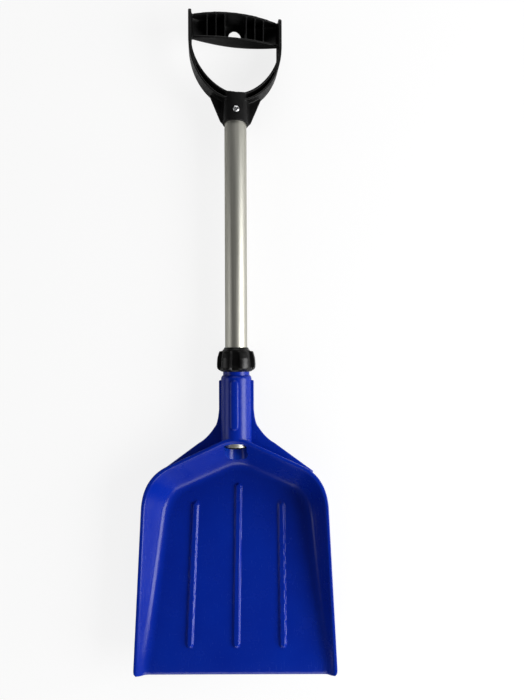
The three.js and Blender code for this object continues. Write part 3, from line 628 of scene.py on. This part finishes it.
def nut_profile(sizes):
    """Closed profile of the nut without its lobes: outside down, thread and cone up."""
    top = NUT_ABOVE_DATUM
    crest = sizes.thread_crest + THREAD_GAP
    minor = crest - sizes.thread_depth
    outside = [
        (14.6, 3.5), (14.9, 3.5), (15.25, 3.25), (15.5, 2.7), (15.8, 1.6), (16.3, 1.0), (17.0, 0.75),
        (17.9, -2), (18.6, -8), (19.2, -14), (19.6, -19), (20.6, -22.2), (20.7, -23.6), (20.3, -25.2),
        (19.4, -26.5), (18.6, -27),
    ]
    inside = [(17.6, -27), (17.35, -26.4), (17.35, -24.5)]
    cone = [(17.25, -8.6), (17.25, -7.3), (16.05, -6.6), (15.4, -0.85), (14.6, -0.6)]
    profile = [(r * MM, y * MM) for r, y in outside + inside]
    profile += [(minor, -23.6 * MM), (minor, -9.2 * MM)]
    profile += [(r * MM, y * MM) for r, y in cone]
    return [(r, min(y, top)) for r, y in profile]


def raise_lobes(obj, sizes):
    """Pushes the nut's outside out into finger lobes with rounded flanks."""
    points = mesh_points(obj)
    x, y, z = points.T
    radius = np.hypot(x, z)
    height = y / MM
    knots = (-26.4, -25.6, -24.6, -23, -21, -17, -10, -4, -1.2, 0.0, 0.6)
    reach = (18.9, 21.2, 22.7, 23.9, 24.4, 24.5, 24.0, 22.4, 21.4, 20.2, 17.2)
    lobe = np.interp(height, knots, reach) * MM
    theta = np.arctan2(x, z) - sizes.lobe_start
    pitch = 2 * math.pi / sizes.lobes
    away = np.abs((theta + pitch / 2) % pitch - pitch / 2)
    flank = sizes.edge_arc
    raised = 1 - ease(away, sizes.lobe_arc / 2 - flank / 2, sizes.lobe_arc / 2 + flank / 2)
    crown = 1 - 0.012 * (away / (sizes.lobe_arc / 2)) ** 2
    outside = (radius > 17.5 * MM) & (height > -26.4) & (height < 0.6)
    new = np.where(outside, radius + np.maximum(lobe * crown - radius, 0) * raised, radius)
    scale = new / radius
    place_points(obj, np.column_stack([x * scale, y, z * scale]))


def cut_inner_thread(obj, sizes):
    points = mesh_points(obj)
    x, y, z = points.T
    radius = np.hypot(x, z)
    minor = sizes.thread_crest + THREAD_GAP - sizes.thread_depth
    turn = np.arctan2(x, z) / (2 * math.pi)
    wave = 0.5 + 0.5 * np.cos(2 * math.pi * (y / sizes.thread_pitch - turn))
    cut = (np.abs(radius - minor) < 0.05 * MM) & (y < -9 * MM)
    new = radius + cut * sizes.thread_depth * ease(wave, 0.2, 0.8)
    scale = new / radius
    place_points(obj, np.column_stack([x * scale, y, z * scale]))


class SHOVEL_OT_nut(bpy.types.Operator):
    """Makes the lobed clamp nut with its thread and cone"""
    bl_idname = "shovel.nut"
    bl_label = "Clamp Nut"

    def execute(self, context):
        socket_sizes = context.scene.shovel_socket
        obj = turned("clamp_nut_moulding", nut_profile(socket_sizes), 240, fine=0.8 * MM)
        raise_lobes(obj, context.scene.shovel_nut)
        cut_inner_thread(obj, socket_sizes)
        seat(obj)
        finish_piece(obj, "clamp_nut", nut_plastic(context.scene.shovel_finishes), degrees=50)
        return {"FINISHED"}


class SHOVEL_OT_ring(bpy.types.Operator):
    """Finishes the split clamp ring inside the nut"""
    bl_idname = "shovel.ring"
    bl_label = "Clamp Ring"

    def execute(self, context):
        ring = frame["nodes"]["clamp_ring"]
        finish = natural_plastic(context.scene.shovel_finishes)
        for ring_slot in ring.material_slots:
            ring_slot.material = finish
        return {"FINISHED"}


class SHOVEL_OT_shaft(bpy.types.Operator):
    """Makes the shaft tube and its end plug"""
    bl_idname = "shovel.shaft"
    bl_label = "Shaft Tube and End Plug"

    def execute(self, context):
        finishes = context.scene.shovel_finishes
        self.make_tube(finishes)
        self.make_plug(finishes)
        return {"FINISHED"}

    def make_tube(self, finishes):
        low, high = TUBE_LOW.y - DATUM_Y, TUBE_HIGH.y - DATUM_Y
        bore = TUBE_RADIUS - 1.2 * MM
        edge = 0.3 * MM
        profile = [
            (bore, low + edge), (bore + edge, low), (TUBE_RADIUS - edge, low),
            (TUBE_RADIUS - 0.09 * MM, low + 0.09 * MM), (TUBE_RADIUS, low + edge),
            (TUBE_RADIUS, high - edge), (TUBE_RADIUS - edge, high), (bore, high),
        ]
        obj = turned("shaft_tube_drawn", profile, 160, fine=20 * MM)
        seat(obj, GRIP_TWIST)
        finish_piece(obj, "shaft_tube", satin_aluminium(finishes), degrees=30)

    def make_plug(self, finishes):
        low, high = PLUG_LOW.y - DATUM_Y, PLUG_HIGH.y - DATUM_Y
        rim = low + 1.3 * MM
        radius = TUBE_RADIUS - 0.1 * MM
        spigot = TUBE_RADIUS - 1.5 * MM
        profile = [
            (0, low + 0.5 * MM), (8.5 * MM, low + 0.5 * MM), (9.3 * MM, low + 0.1 * MM), (9.8 * MM, low),
            (radius - 0.8 * MM, low), (radius - 0.3 * MM, low + 0.12 * MM), (radius, low + 0.5 * MM),
            (radius, rim - 0.1 * MM), (radius - 0.15 * MM, rim), (spigot, rim), (spigot, high - 1 * MM),
            (spigot - 0.8 * MM, high), (spigot - 1.6 * MM, high), (spigot - 1.6 * MM, rim + 0.3 * MM),
            (0, rim + 0.3 * MM),
        ]
        obj = turned("end_plug_moulding", profile, 120, fine=2 * MM)
        seat(obj)
        finish_piece(obj, "end_plug", plug_plastic(finishes), degrees=40)


# ---- Grip and its screw --------------------------------------------------------------------------

BAR_LOW = 390.5 * MM
BAR_HIGH = 424 * MM
BAR_ARCH = 2.3 * MM
BAR_BELLY = 1.8 * MM
BAR_POWER = 3
EAR_TIP = 2.2 * MM
BAR_WALL = 2.5 * MM
SCREW_Y = 301 * MM
RECESS_TURN = 0.6


def eye_outline(centre, half_width, drop, top, power=2.0, tip=0.0):
    """The lower half of a superellipse, run straight up to top, with its top corners cut by tip."""
    steps = 96
    curve = []
    for i in range(steps + 1):
        a = math.pi * i / steps
        across, along = -math.cos(a), math.sin(a)
        x = half_width * math.copysign(abs(across) ** (2 / power), across)
        curve.append((x, centre - drop * along ** (2 / power)))
    corner = [(half_width, top)]
    if tip:
        cut = half_width - 0.3 * tip, top - 0.3 * tip
        corner = [(half_width, top - tip), cut, (half_width - tip, top)]
    return curve + corner + [(-x, y) for x, y in reversed(corner)]


def side_profile_tool(sizes):
    """The grip's side view with rounded ears, run across its width."""
    bottom, top, half = sizes.mouth - 10 * MM, sizes.top, sizes.half_depth
    corner = 5 * MM
    steps = 10
    outline = [(bottom, -half)]
    for centre_z, first in ((corner - half, -math.pi / 2), (half - corner, 0)):
        for i in range(steps + 1):
            a = first + math.pi / 2 * i / steps
            outline.append((top - corner + corner * math.cos(a), centre_z + corner * math.sin(a)))
    outline.append((bottom, half))
    width = 90 * MM
    obj = slab("side_profile_tool", outline, -width, width)
    points = mesh_points(obj)
    place_points(obj, points[:, [2, 0, 1]])
    return clean(obj)


def bar_solid(name, sizes, inset, half_length, rise):
    """The crossbar's trough as a convex barrel: its outside, or its hollow when inset."""
    points = []
    stations = 20
    for i in range(-stations, stations + 1):
        x = half_length * i / stations
        bow = 1 - (x / sizes.eye_half) ** 2
        top = BAR_HIGH - BAR_ARCH * (1 - bow)
        bottom = BAR_LOW + BAR_BELLY * (1 - bow)
        middle = (bottom + top) / 2
        half = (top - bottom) / 2 - inset
        front = (4 + 9 * bow) * MM + rise
        back = (4.5 + 10.5 * bow) * MM - inset
        points += [(x, middle - half, front), (x, middle + half, front)]
        for k in range(17):
            a = math.pi * k / 16
            across = math.copysign(abs(math.cos(a)) ** (2 / BAR_POWER), math.cos(a))
            points.append((x, middle - half * across, -back * math.sin(a) ** (2 / BAR_POWER)))
    return hull(name, points)


def bar_ribs(sizes):
    """Six thin ribs across the trough, three on each side of the hanging hole."""
    ribs = None
    for side in (-1, 1):
        for i in range(3):
            x = side * (13.4 + 11 * i) * MM
            rib = block("rib", (x - 0.9 * MM, BAR_LOW, -30 * MM), (x + 0.9 * MM, BAR_HIGH, 26 * MM))
            ribs = boolean(ribs, rib, "UNION") if ribs else rib
    return boolean(ribs, bar_solid("rib_trim", sizes, 1.2 * MM, sizes.eye_half, -1.8 * MM), "INTERSECT")


def arm_frame(sizes):
    """The two arms with their flanges and webs, before the finger opening is cut."""
    depth = sizes.half_depth
    outline = eye_outline(sizes.arm_centre, sizes.arm_half, sizes.arm_drop, sizes.top, tip=EAR_TIP)
    frame_piece = slab("arm_frame", outline, -depth, depth)
    boolean(frame_piece, side_profile_tool(sizes), "INTERSECT")
    flange = sizes.flange
    for low, high in ((1.5 * MM, 2 * depth), (-2 * depth, -1.5 * MM)):
        outer = eye_outline(
            sizes.arm_centre, sizes.arm_half - flange, sizes.arm_drop - flange,
            sizes.arm_centre + 0.01 * MM)
        inner = eye_outline(
            sizes.eye_centre, sizes.eye_half + flange, sizes.eye_drop + flange, sizes.arm_centre + 5 * MM,
            sizes.eye_power)
        pocket = slab("pocket", outer, low, high)
        boolean(pocket, slab("pocket_core", inner, low - 1 * MM, high + 1 * MM), "DIFFERENCE")
        boolean(frame_piece, pocket, "DIFFERENCE")
    return frame_piece


def yoke_fins(sizes):
    mouth = sizes.mouth
    half = [(16.5 * MM, mouth), (19.5 * MM, mouth + 3 * MM), (33 * MM, 323 * MM), (16 * MM, 323 * MM)]
    outline = half + [(-x, y) for x, y in reversed(half)]
    return slab("yoke_fins", outline, -1.5 * MM, 1.5 * MM)


class SHOVEL_OT_grip(bpy.types.Operator):
    """Makes the D-grip: socket, fins, arms, ears and the ribbed trough of the crossbar"""
    bl_idname = "shovel.grip"
    bl_label = "D-grip"

    def execute(self, context):
        sizes = context.scene.shovel_grip
        obj = arm_frame(sizes)
        obj.name = "grip_moulding"
        socket_top = sizes.eye_centre - sizes.eye_drop + sizes.flange
        boolean(obj, rod("grip_socket", sizes.socket_radius, sizes.mouth, socket_top), "UNION")
        boolean(obj, yoke_fins(sizes), "UNION")
        eye = eye_outline(
            sizes.eye_centre, sizes.eye_half, sizes.eye_drop, sizes.top + 10 * MM, sizes.eye_power)
        boolean(obj, slab("eye", eye, -30 * MM, 30 * MM), "DIFFERENCE")
        reach = (sizes.eye_half + sizes.arm_half) / 2
        bar = bar_solid("bar", sizes, 0, reach, 0)
        boolean(bar, bar_solid("trough", sizes, BAR_WALL, sizes.eye_half - 0.5 * MM, 26 * MM), "DIFFERENCE")
        boolean(bar, bar_ribs(sizes), "UNION")
        boolean(obj, bar, "UNION")
        middle = (BAR_LOW + BAR_HIGH) / 2
        boolean(obj, rod("hang_hole", 8 * MM, -30 * MM, 0, "Z", 64, (0, middle)), "DIFFERENCE")
        bore = TUBE_RADIUS + RUNNING_GAP
        boolean(obj, rod("grip_bore", bore, sizes.mouth - 5 * MM, sizes.mouth + 30 * MM), "DIFFERENCE")
        boolean(obj, rod("screw_hole", 2.3 * MM, 0, 30 * MM, "Z", 32, (0, SCREW_Y)), "DIFFERENCE")
        clean(obj)
        apply_modifier(obj, "REMESH", mode="VOXEL", voxel_size=sizes.voxel, adaptivity=0)
        apply_modifier(obj, "SMOOTH", factor=0.5, iterations=4)
        apply_modifier(obj, "DECIMATE", ratio=0.5)
        seat(obj, GRIP_TWIST)
        finish_piece(obj, "grip", grip_plastic(context.scene.shovel_finishes), degrees=60)
        return {"FINISHED"}


class SHOVEL_OT_screw(bpy.types.Operator):
    """Makes the cross-recess screw that holds the grip on the tube"""
    bl_idname = "shovel.screw"
    bl_label = "Grip Screw"

    def execute(self, context):
        sizes = context.scene.shovel_grip
        under = sizes.socket_radius + 0.3 * MM
        profile = [
            (0, 7 * MM), (1.2 * MM, 8.4 * MM), (2 * MM, 10 * MM), (2 * MM, under), (3.7 * MM, under),
            (3.95 * MM, under + 0.25 * MM), (4 * MM, under + 0.6 * MM), (3.75 * MM, under + 1.2 * MM),
            (3.0 * MM, under + 1.9 * MM), (1.9 * MM, under + 2.3 * MM), (0, under + 2.4 * MM),
        ]
        obj = turned("grip_screw_turned", profile, 64, fine=0.5 * MM)
        points = mesh_points(obj)
        place_points(obj, np.column_stack([points[:, 0], -points[:, 2] + SCREW_Y, points[:, 1]]))
        clean(obj, merge=0.000005)
        for turn in (RECESS_TURN, RECESS_TURN + math.pi / 2):
            bar = self.recess_bar(turn, under + 2.4 * MM)
            boolean(obj, bar, "DIFFERENCE")
        seat(obj, GRIP_TWIST)
        finish_piece(obj, "grip_screw", zinc_steel(context.scene.shovel_finishes), degrees=35)
        return {"FINISHED"}

    def recess_bar(self, turn, top):
        bar = block("recess", (-2.3 * MM, -0.55 * MM, -1.3 * MM), (2.3 * MM, 0.55 * MM, 1.3 * MM))
        bar.rotation_euler = (0, 0, turn)
        bar.location = (0, SCREW_Y, top)
        take(bar)
        bpy.ops.object.transform_apply(location=True, rotation=True, scale=True)
        return bar


# ---- Finishes --------------------------------------------------------------------------------------

class Finish:
    """A node material with one principled shader and object coordinates."""

    def __init__(self, name):
        self.material = bpy.data.materials.new(name)
        self.material.use_nodes = True
        self.nodes = self.material.node_tree.nodes
        self.links = self.material.node_tree.links
        self.shader = self.nodes["Principled BSDF"]
        self.place = self.nodes.new("ShaderNodeTexCoord").outputs["Object"]
        self.normal = None

    def join(self, source, target):
        self.links.new(source, target)

    def noise(self, scale, detail=3.0, roughness=0.55, stretch=(1, 1, 1)):
        mapping = self.nodes.new("ShaderNodeMapping")
        mapping.inputs["Scale"].default_value = stretch
        self.join(self.place, mapping.inputs["Vector"])
        texture = self.nodes.new("ShaderNodeTexNoise")
        texture.inputs["Scale"].default_value = scale
        texture.inputs["Detail"].default_value = detail
        texture.inputs["Roughness"].default_value = roughness
        self.join(mapping.outputs["Vector"], texture.inputs["Vector"])
        return texture.outputs["Fac"]

    def spread(self, value, low, high, to_low, to_high):
        """Stretches the band low..high of a value to to_low..to_high."""
        node = self.nodes.new("ShaderNodeMapRange")
        for key, number in (("From Min", low), ("From Max", high), ("To Min", to_low), ("To Max", to_high)):
            node.inputs[key].default_value = number
        self.join(value, node.inputs["Value"])
        return node.outputs["Result"]

    def both(self, operation, a, b):
        node = self.nodes.new("ShaderNodeMath")
        node.operation = operation
        node.use_clamp = True
        for socket, value in zip(node.inputs, (a, b)):
            if isinstance(value, (int, float)):
                socket.default_value = value
            else:
                self.join(value, socket)
        return node.outputs["Value"]

    def tint(self, factor, first, second):
        """Mixes two colours, or a colour and a colour output, by a factor."""
        node = self.nodes.new("ShaderNodeMix")
        node.data_type = "RGBA"
        self.join(factor, node.inputs["Factor"])
        for key, value in (("A", first), ("B", second)):
            socket = next(s for s in node.inputs if s.name == key and s.type == "RGBA")
            if hasattr(value, "is_output"):
                self.join(value, socket)
            else:
                socket.default_value = (*value, 1)
        return next(s for s in node.outputs if s.type == "RGBA")

    def bump(self, height, distance, strength=1.0):
        node = self.nodes.new("ShaderNodeBump")
        node.inputs["Strength"].default_value = strength
        node.inputs["Distance"].default_value = distance
        self.join(height, node.inputs["Height"])
        if self.normal:
            self.join(self.normal, node.inputs["Normal"])
        self.normal = node.outputs["Normal"]
        self.join(self.normal, self.shader.inputs["Normal"])

    def edges(self, low=0.52, high=0.6):
        """Convex edges, where handling wears a moulding first."""
        geometry = self.nodes.new("ShaderNodeNewGeometry")
        return self.spread(geometry.outputs["Pointiness"], low, high, 0, 1)

    def colour(self, value):
        self.join(value, self.shader.inputs["Base Color"])

    def gloss(self, value):
        self.join(value, self.shader.inputs["Roughness"])

    def fixed(self, **values):
        for key, value in values.items():
            self.shader.inputs[key.replace("_", " ")].default_value = value


def mixed_towards(base, target, share):
    return tuple(a + (b - a) * share for a, b in zip(base, target))


def blue_plastic(finishes):
    """Glossy polypropylene: slight cloudiness, flow marks, fine scratches and whitened edges."""
    f = Finish("blue_polypropylene")
    base, light = tuple(finishes.blue), tuple(finishes.blue_light)
    cloud = f.spread(f.noise(14, 4), 0.3, 0.7, 0, 1)
    body = f.tint(cloud, mixed_towards(base, (0, 0, 0), 0.08), mixed_towards(base, light, 0.12))
    scratches = f.spread(f.noise(1, 6, 0.6, (900, 26, 900)), 0.62, 0.78, 0, 1)
    cross = f.spread(f.noise(1, 5, 0.6, (60, 1100, 300)), 0.66, 0.8, 0, 1)
    marks = f.both("MAXIMUM", scratches, cross)
    faint = f.both("MULTIPLY", marks, 0.22)
    worn = f.both("MULTIPLY", f.edges(0.515, 0.58), f.spread(f.noise(90, 5), 0.35, 0.65, 0.25, 0.8))
    f.colour(f.tint(f.both("MAXIMUM", faint, worn), body, light))
    haze = f.spread(f.noise(32, 5), 0.3, 0.7, 0.2, 0.3)
    f.gloss(f.both("ADD", haze, f.both("MULTIPLY", marks, 0.2)))
    f.bump(f.noise(5200, 2), 0.00002, 0.35)
    f.bump(f.noise(9, 2), 0.0016, 0.22)
    f.fixed(Specular_IOR_Level=0.3, IOR=1.49)
    return f.material


def dark_plastic(name, finishes, grain, gloss_low, gloss_high, grain_depth, shine=0.2):
    """Black moulded plastic with a fine grain, dull scuffs and paler worn edges."""
    f = Finish(name)
    base, light = tuple(finishes.black), tuple(finishes.black_light)
    cloud = f.spread(f.noise(40, 4), 0.3, 0.7, 0, 1)
    body = f.tint(cloud, mixed_towards(base, (0, 0, 0), 0.25), mixed_towards(base, light, 0.12))
    scuffs = f.spread(f.noise(1, 6, 0.62, (500, 90, 500)), 0.6, 0.8, 0, 0.45)
    worn = f.both("MULTIPLY", f.edges(), f.spread(f.noise(160, 4), 0.35, 0.65, 0.2, 0.7))
    f.colour(f.tint(f.both("MAXIMUM", scuffs, worn), body, light))
    haze = f.spread(f.noise(70, 5), 0.3, 0.7, gloss_low, gloss_high)
    f.gloss(f.both("ADD", haze, f.both("MULTIPLY", scuffs, 0.2)))
    f.bump(f.noise(grain, 2, 0.6), grain_depth, 0.5)
    f.fixed(Specular_IOR_Level=shine, IOR=1.5)
    return f.material


def nut_plastic(finishes):
    return dark_plastic("nut_nylon", finishes, 3600, 0.26, 0.36, 0.00003, shine=0.32)


def grip_plastic(finishes):
    return dark_plastic("grip_polypropylene", finishes, 2600, 0.38, 0.5, 0.00005)


def plug_plastic(finishes):
    return dark_plastic("plug_polyethylene", finishes, 3000, 0.45, 0.6, 0.00004)


def natural_plastic(finishes):
    f = Finish("natural_acetal")
    base = tuple(finishes.natural)
    cloud = f.spread(f.noise(120, 3), 0.3, 0.7, 0, 1)
    f.colour(f.tint(cloud, mixed_towards(base, (0, 0, 0), 0.12), base))
    f.gloss(f.spread(f.noise(300, 3), 0.3, 0.7, 0.38, 0.52))
    f.bump(f.noise(2600, 2), 0.00003, 0.4)
    return f.material


def satin_aluminium(finishes):
    """Anodised drawn tube: fine lines along it, faint bands, small nicks."""
    f = Finish("anodised_aluminium")
    base = tuple(finishes.aluminium)
    lines = f.noise(1, 5, 0.65, (1500, 9, 1500))
    bands = f.spread(f.noise(1, 3, 0.5, (140, 4, 140)), 0.3, 0.7, 0, 1)
    body = f.tint(bands, mixed_towards(base, (0.4, 0.4, 0.34), 0.35), mixed_towards(base, (0.8, 0.8, 0.76), 0.15))
    nicks = f.spread(f.noise(420, 4, 0.7), 0.7, 0.78, 0, 0.5)
    f.colour(f.tint(nicks, body, mixed_towards(base, (0, 0, 0), 0.35)))
    f.gloss(f.both("ADD", f.spread(lines, 0.3, 0.7, 0.4, 0.52), f.both("MULTIPLY", nicks, 0.2)))
    f.bump(lines, 0.00004, 0.25)
    f.fixed(Metallic=1.0)
    return f.material


def zinc_steel(finishes):
    f = Finish("zinc_plated_steel")
    base = tuple(finishes.steel)
    cloud = f.spread(f.noise(900, 4), 0.3, 0.7, 0, 1)
    f.colour(f.tint(cloud, mixed_towards(base, (0.3, 0.3, 0.28), 0.3), base))
    f.gloss(f.spread(f.noise(1500, 4), 0.3, 0.7, 0.22, 0.4))
    f.bump(f.noise(4000, 3), 0.00002, 0.4)
    f.fixed(Metallic=1.0)
    return f.material


# ---- Stage -------------------------------------------------------------------------------------------

PAPER_GLOW_SHARE = 0.8
PAPER_GLOW = 1.04
BACKDROP_WHITE = 0.97


def floor_material():
    """Pale paper that shows almost white to the eye and still takes the shovel's shadow."""
    material = bpy.data.materials.new("pale_paper")
    material.use_nodes = True
    nodes, links = material.node_tree.nodes, material.node_tree.links
    shader = nodes["Principled BSDF"]
    shader.inputs["Base Color"].default_value = (0.9, 0.9, 0.9, 1)
    shader.inputs["Roughness"].default_value = 0.9
    glow = nodes.new("ShaderNodeEmission")
    glow.inputs["Color"].default_value = (1, 1, 1, 1)
    glow.inputs["Strength"].default_value = PAPER_GLOW
    rays = nodes.new("ShaderNodeLightPath")
    share = nodes.new("ShaderNodeMath")
    share.operation = "MULTIPLY"
    share.inputs[1].default_value = PAPER_GLOW_SHARE
    links.new(rays.outputs["Is Camera Ray"], share.inputs[0])
    mix = nodes.new("ShaderNodeMixShader")
    links.new(share.outputs["Value"], mix.inputs["Fac"])
    links.new(shader.outputs["BSDF"], mix.inputs[1])
    links.new(glow.outputs["Emission"], mix.inputs[2])
    links.new(mix.outputs["Shader"], nodes["Material Output"].inputs["Surface"])
    return material


def area_light(name, location, target, size, size_y, power):
    deselect_all()
    bpy.ops.object.light_add(type="AREA", location=location)
    lamp = bpy.context.object
    lamp.name = name
    lamp.data.name = name
    lamp.data.shape = "RECTANGLE"
    lamp.data.size = size
    lamp.data.size_y = size_y
    lamp.data.energy = power
    lamp.rotation_mode = "QUATERNION"
    lamp.rotation_quaternion = (Vector(target) - Vector(location)).to_track_quat("-Z", "Y")
    return lamp


class SHOVEL_OT_stage(bpy.types.Operator):
    """Makes the floor, the lights, the surround and the camera"""
    bl_idname = "shovel.stage"
    bl_label = "Stage"

    def execute(self, context):
        settings = context.scene.shovel_stage
        deselect_all()
        bpy.ops.mesh.primitive_plane_add(size=8, location=(0, 0, -0.0005))
        floor = named("floor")
        floor.data.materials.append(floor_material())
        self.make_lights(settings)
        self.make_camera(context, settings)
        self.make_surround(context, settings)
        context.scene.view_settings.view_transform = "Standard"
        return {"FINISHED"}

    def make_lights(self, settings):
        blade = (0, DATUM_Y - 0.15, AXIS_Z)
        area_light("window", (1.22, DATUM_Y - 0.3, 0.6), blade, 1.3, 0.8, settings.key_power)
        fills = (("left_fill", -1.35, -0.1, 0.5), ("near_fill", 0.1, -1.55, 1.1), ("far_fill", 0.1, 1.45, 1.1))
        for name, x, y, share in fills:
            area_light(name, (x, DATUM_Y + y, 0.62), blade, 1.2, 0.7, settings.fill_power * share)

    def make_camera(self, context, settings):
        deselect_all()
        location = (settings.camera_side, DATUM_Y, AXIS_Z + settings.camera_height)
        bpy.ops.object.camera_add(location=location, rotation=(0, 0, settings.roll))
        camera = bpy.context.object
        camera.name = "camera"
        camera.data.lens = settings.lens
        camera.data.shift_x = settings.framing
        camera.data.clip_start = 0.01
        camera.data.clip_end = 20
        context.scene.camera = camera

    def make_surround(self, context, settings):
        world = bpy.data.worlds.new("surround")
        context.scene.world = world
        world.use_nodes = True
        nodes, links = world.node_tree.nodes, world.node_tree.links
        background = nodes["Background"]
        background.inputs["Color"].default_value = (1, 1, 1, 1)
        strength = nodes.new("ShaderNodeMapRange")
        strength.inputs["To Min"].default_value = settings.sky
        strength.inputs["To Max"].default_value = BACKDROP_WHITE
        links.new(nodes.new("ShaderNodeLightPath").outputs["Is Camera Ray"], strength.inputs["Value"])
        links.new(strength.outputs["Result"], background.inputs["Strength"])


# ---- Panel and registration ------------------------------------------------------------------------

OPERATORS = (
    SHOVEL_OT_scoop, SHOVEL_OT_nut, SHOVEL_OT_ring, SHOVEL_OT_shaft, SHOVEL_OT_grip, SHOVEL_OT_screw,
    SHOVEL_OT_stage,
)
GROUPS = {
    "shovel_scoop": ScoopSizes,
    "shovel_socket": SocketSizes,
    "shovel_nut": NutSizes,
    "shovel_grip": GripSizes,
    "shovel_finishes": Finishes,
    "shovel_stage": StageSettings,
}


class SHOVEL_PT_panel(bpy.types.Panel):
    """Lists the shovel's pieces and sizes in the sidebar"""
    bl_label = "Camp Shovel"
    bl_idname = "SHOVEL_PT_panel"
    bl_space_type = "VIEW_3D"
    bl_region_type = "UI"
    bl_category = "Shovel"

    def draw(self, context):
        for operator in OPERATORS:
            self.layout.operator(operator.bl_idname)
        for attribute, group in GROUPS.items():
            box = self.layout.box()
            for prop in group.__annotations__:
                box.prop(getattr(context.scene, attribute), prop)


def register():
    for group in GROUPS.values():
        bpy.utils.register_class(group)
    for attribute, group in GROUPS.items():
        setattr(bpy.types.Scene, attribute, bpy.props.PointerProperty(type=group))
    for operator in OPERATORS:
        bpy.utils.register_class(operator)
    bpy.utils.register_class(SHOVEL_PT_panel)


def unregister():
    bpy.utils.unregister_class(SHOVEL_PT_panel)
    for operator in reversed(OPERATORS):
        bpy.utils.unregister_class(operator)
    for attribute, group in GROUPS.items():
        delattr(bpy.types.Scene, attribute)
        bpy.utils.unregister_class(group)


def main():
    register()
    for operator in OPERATORS:
        family, action = operator.bl_idname.split(".")
        getattr(getattr(bpy.ops, family), action)()


if __name__ == "__main__":
    main()
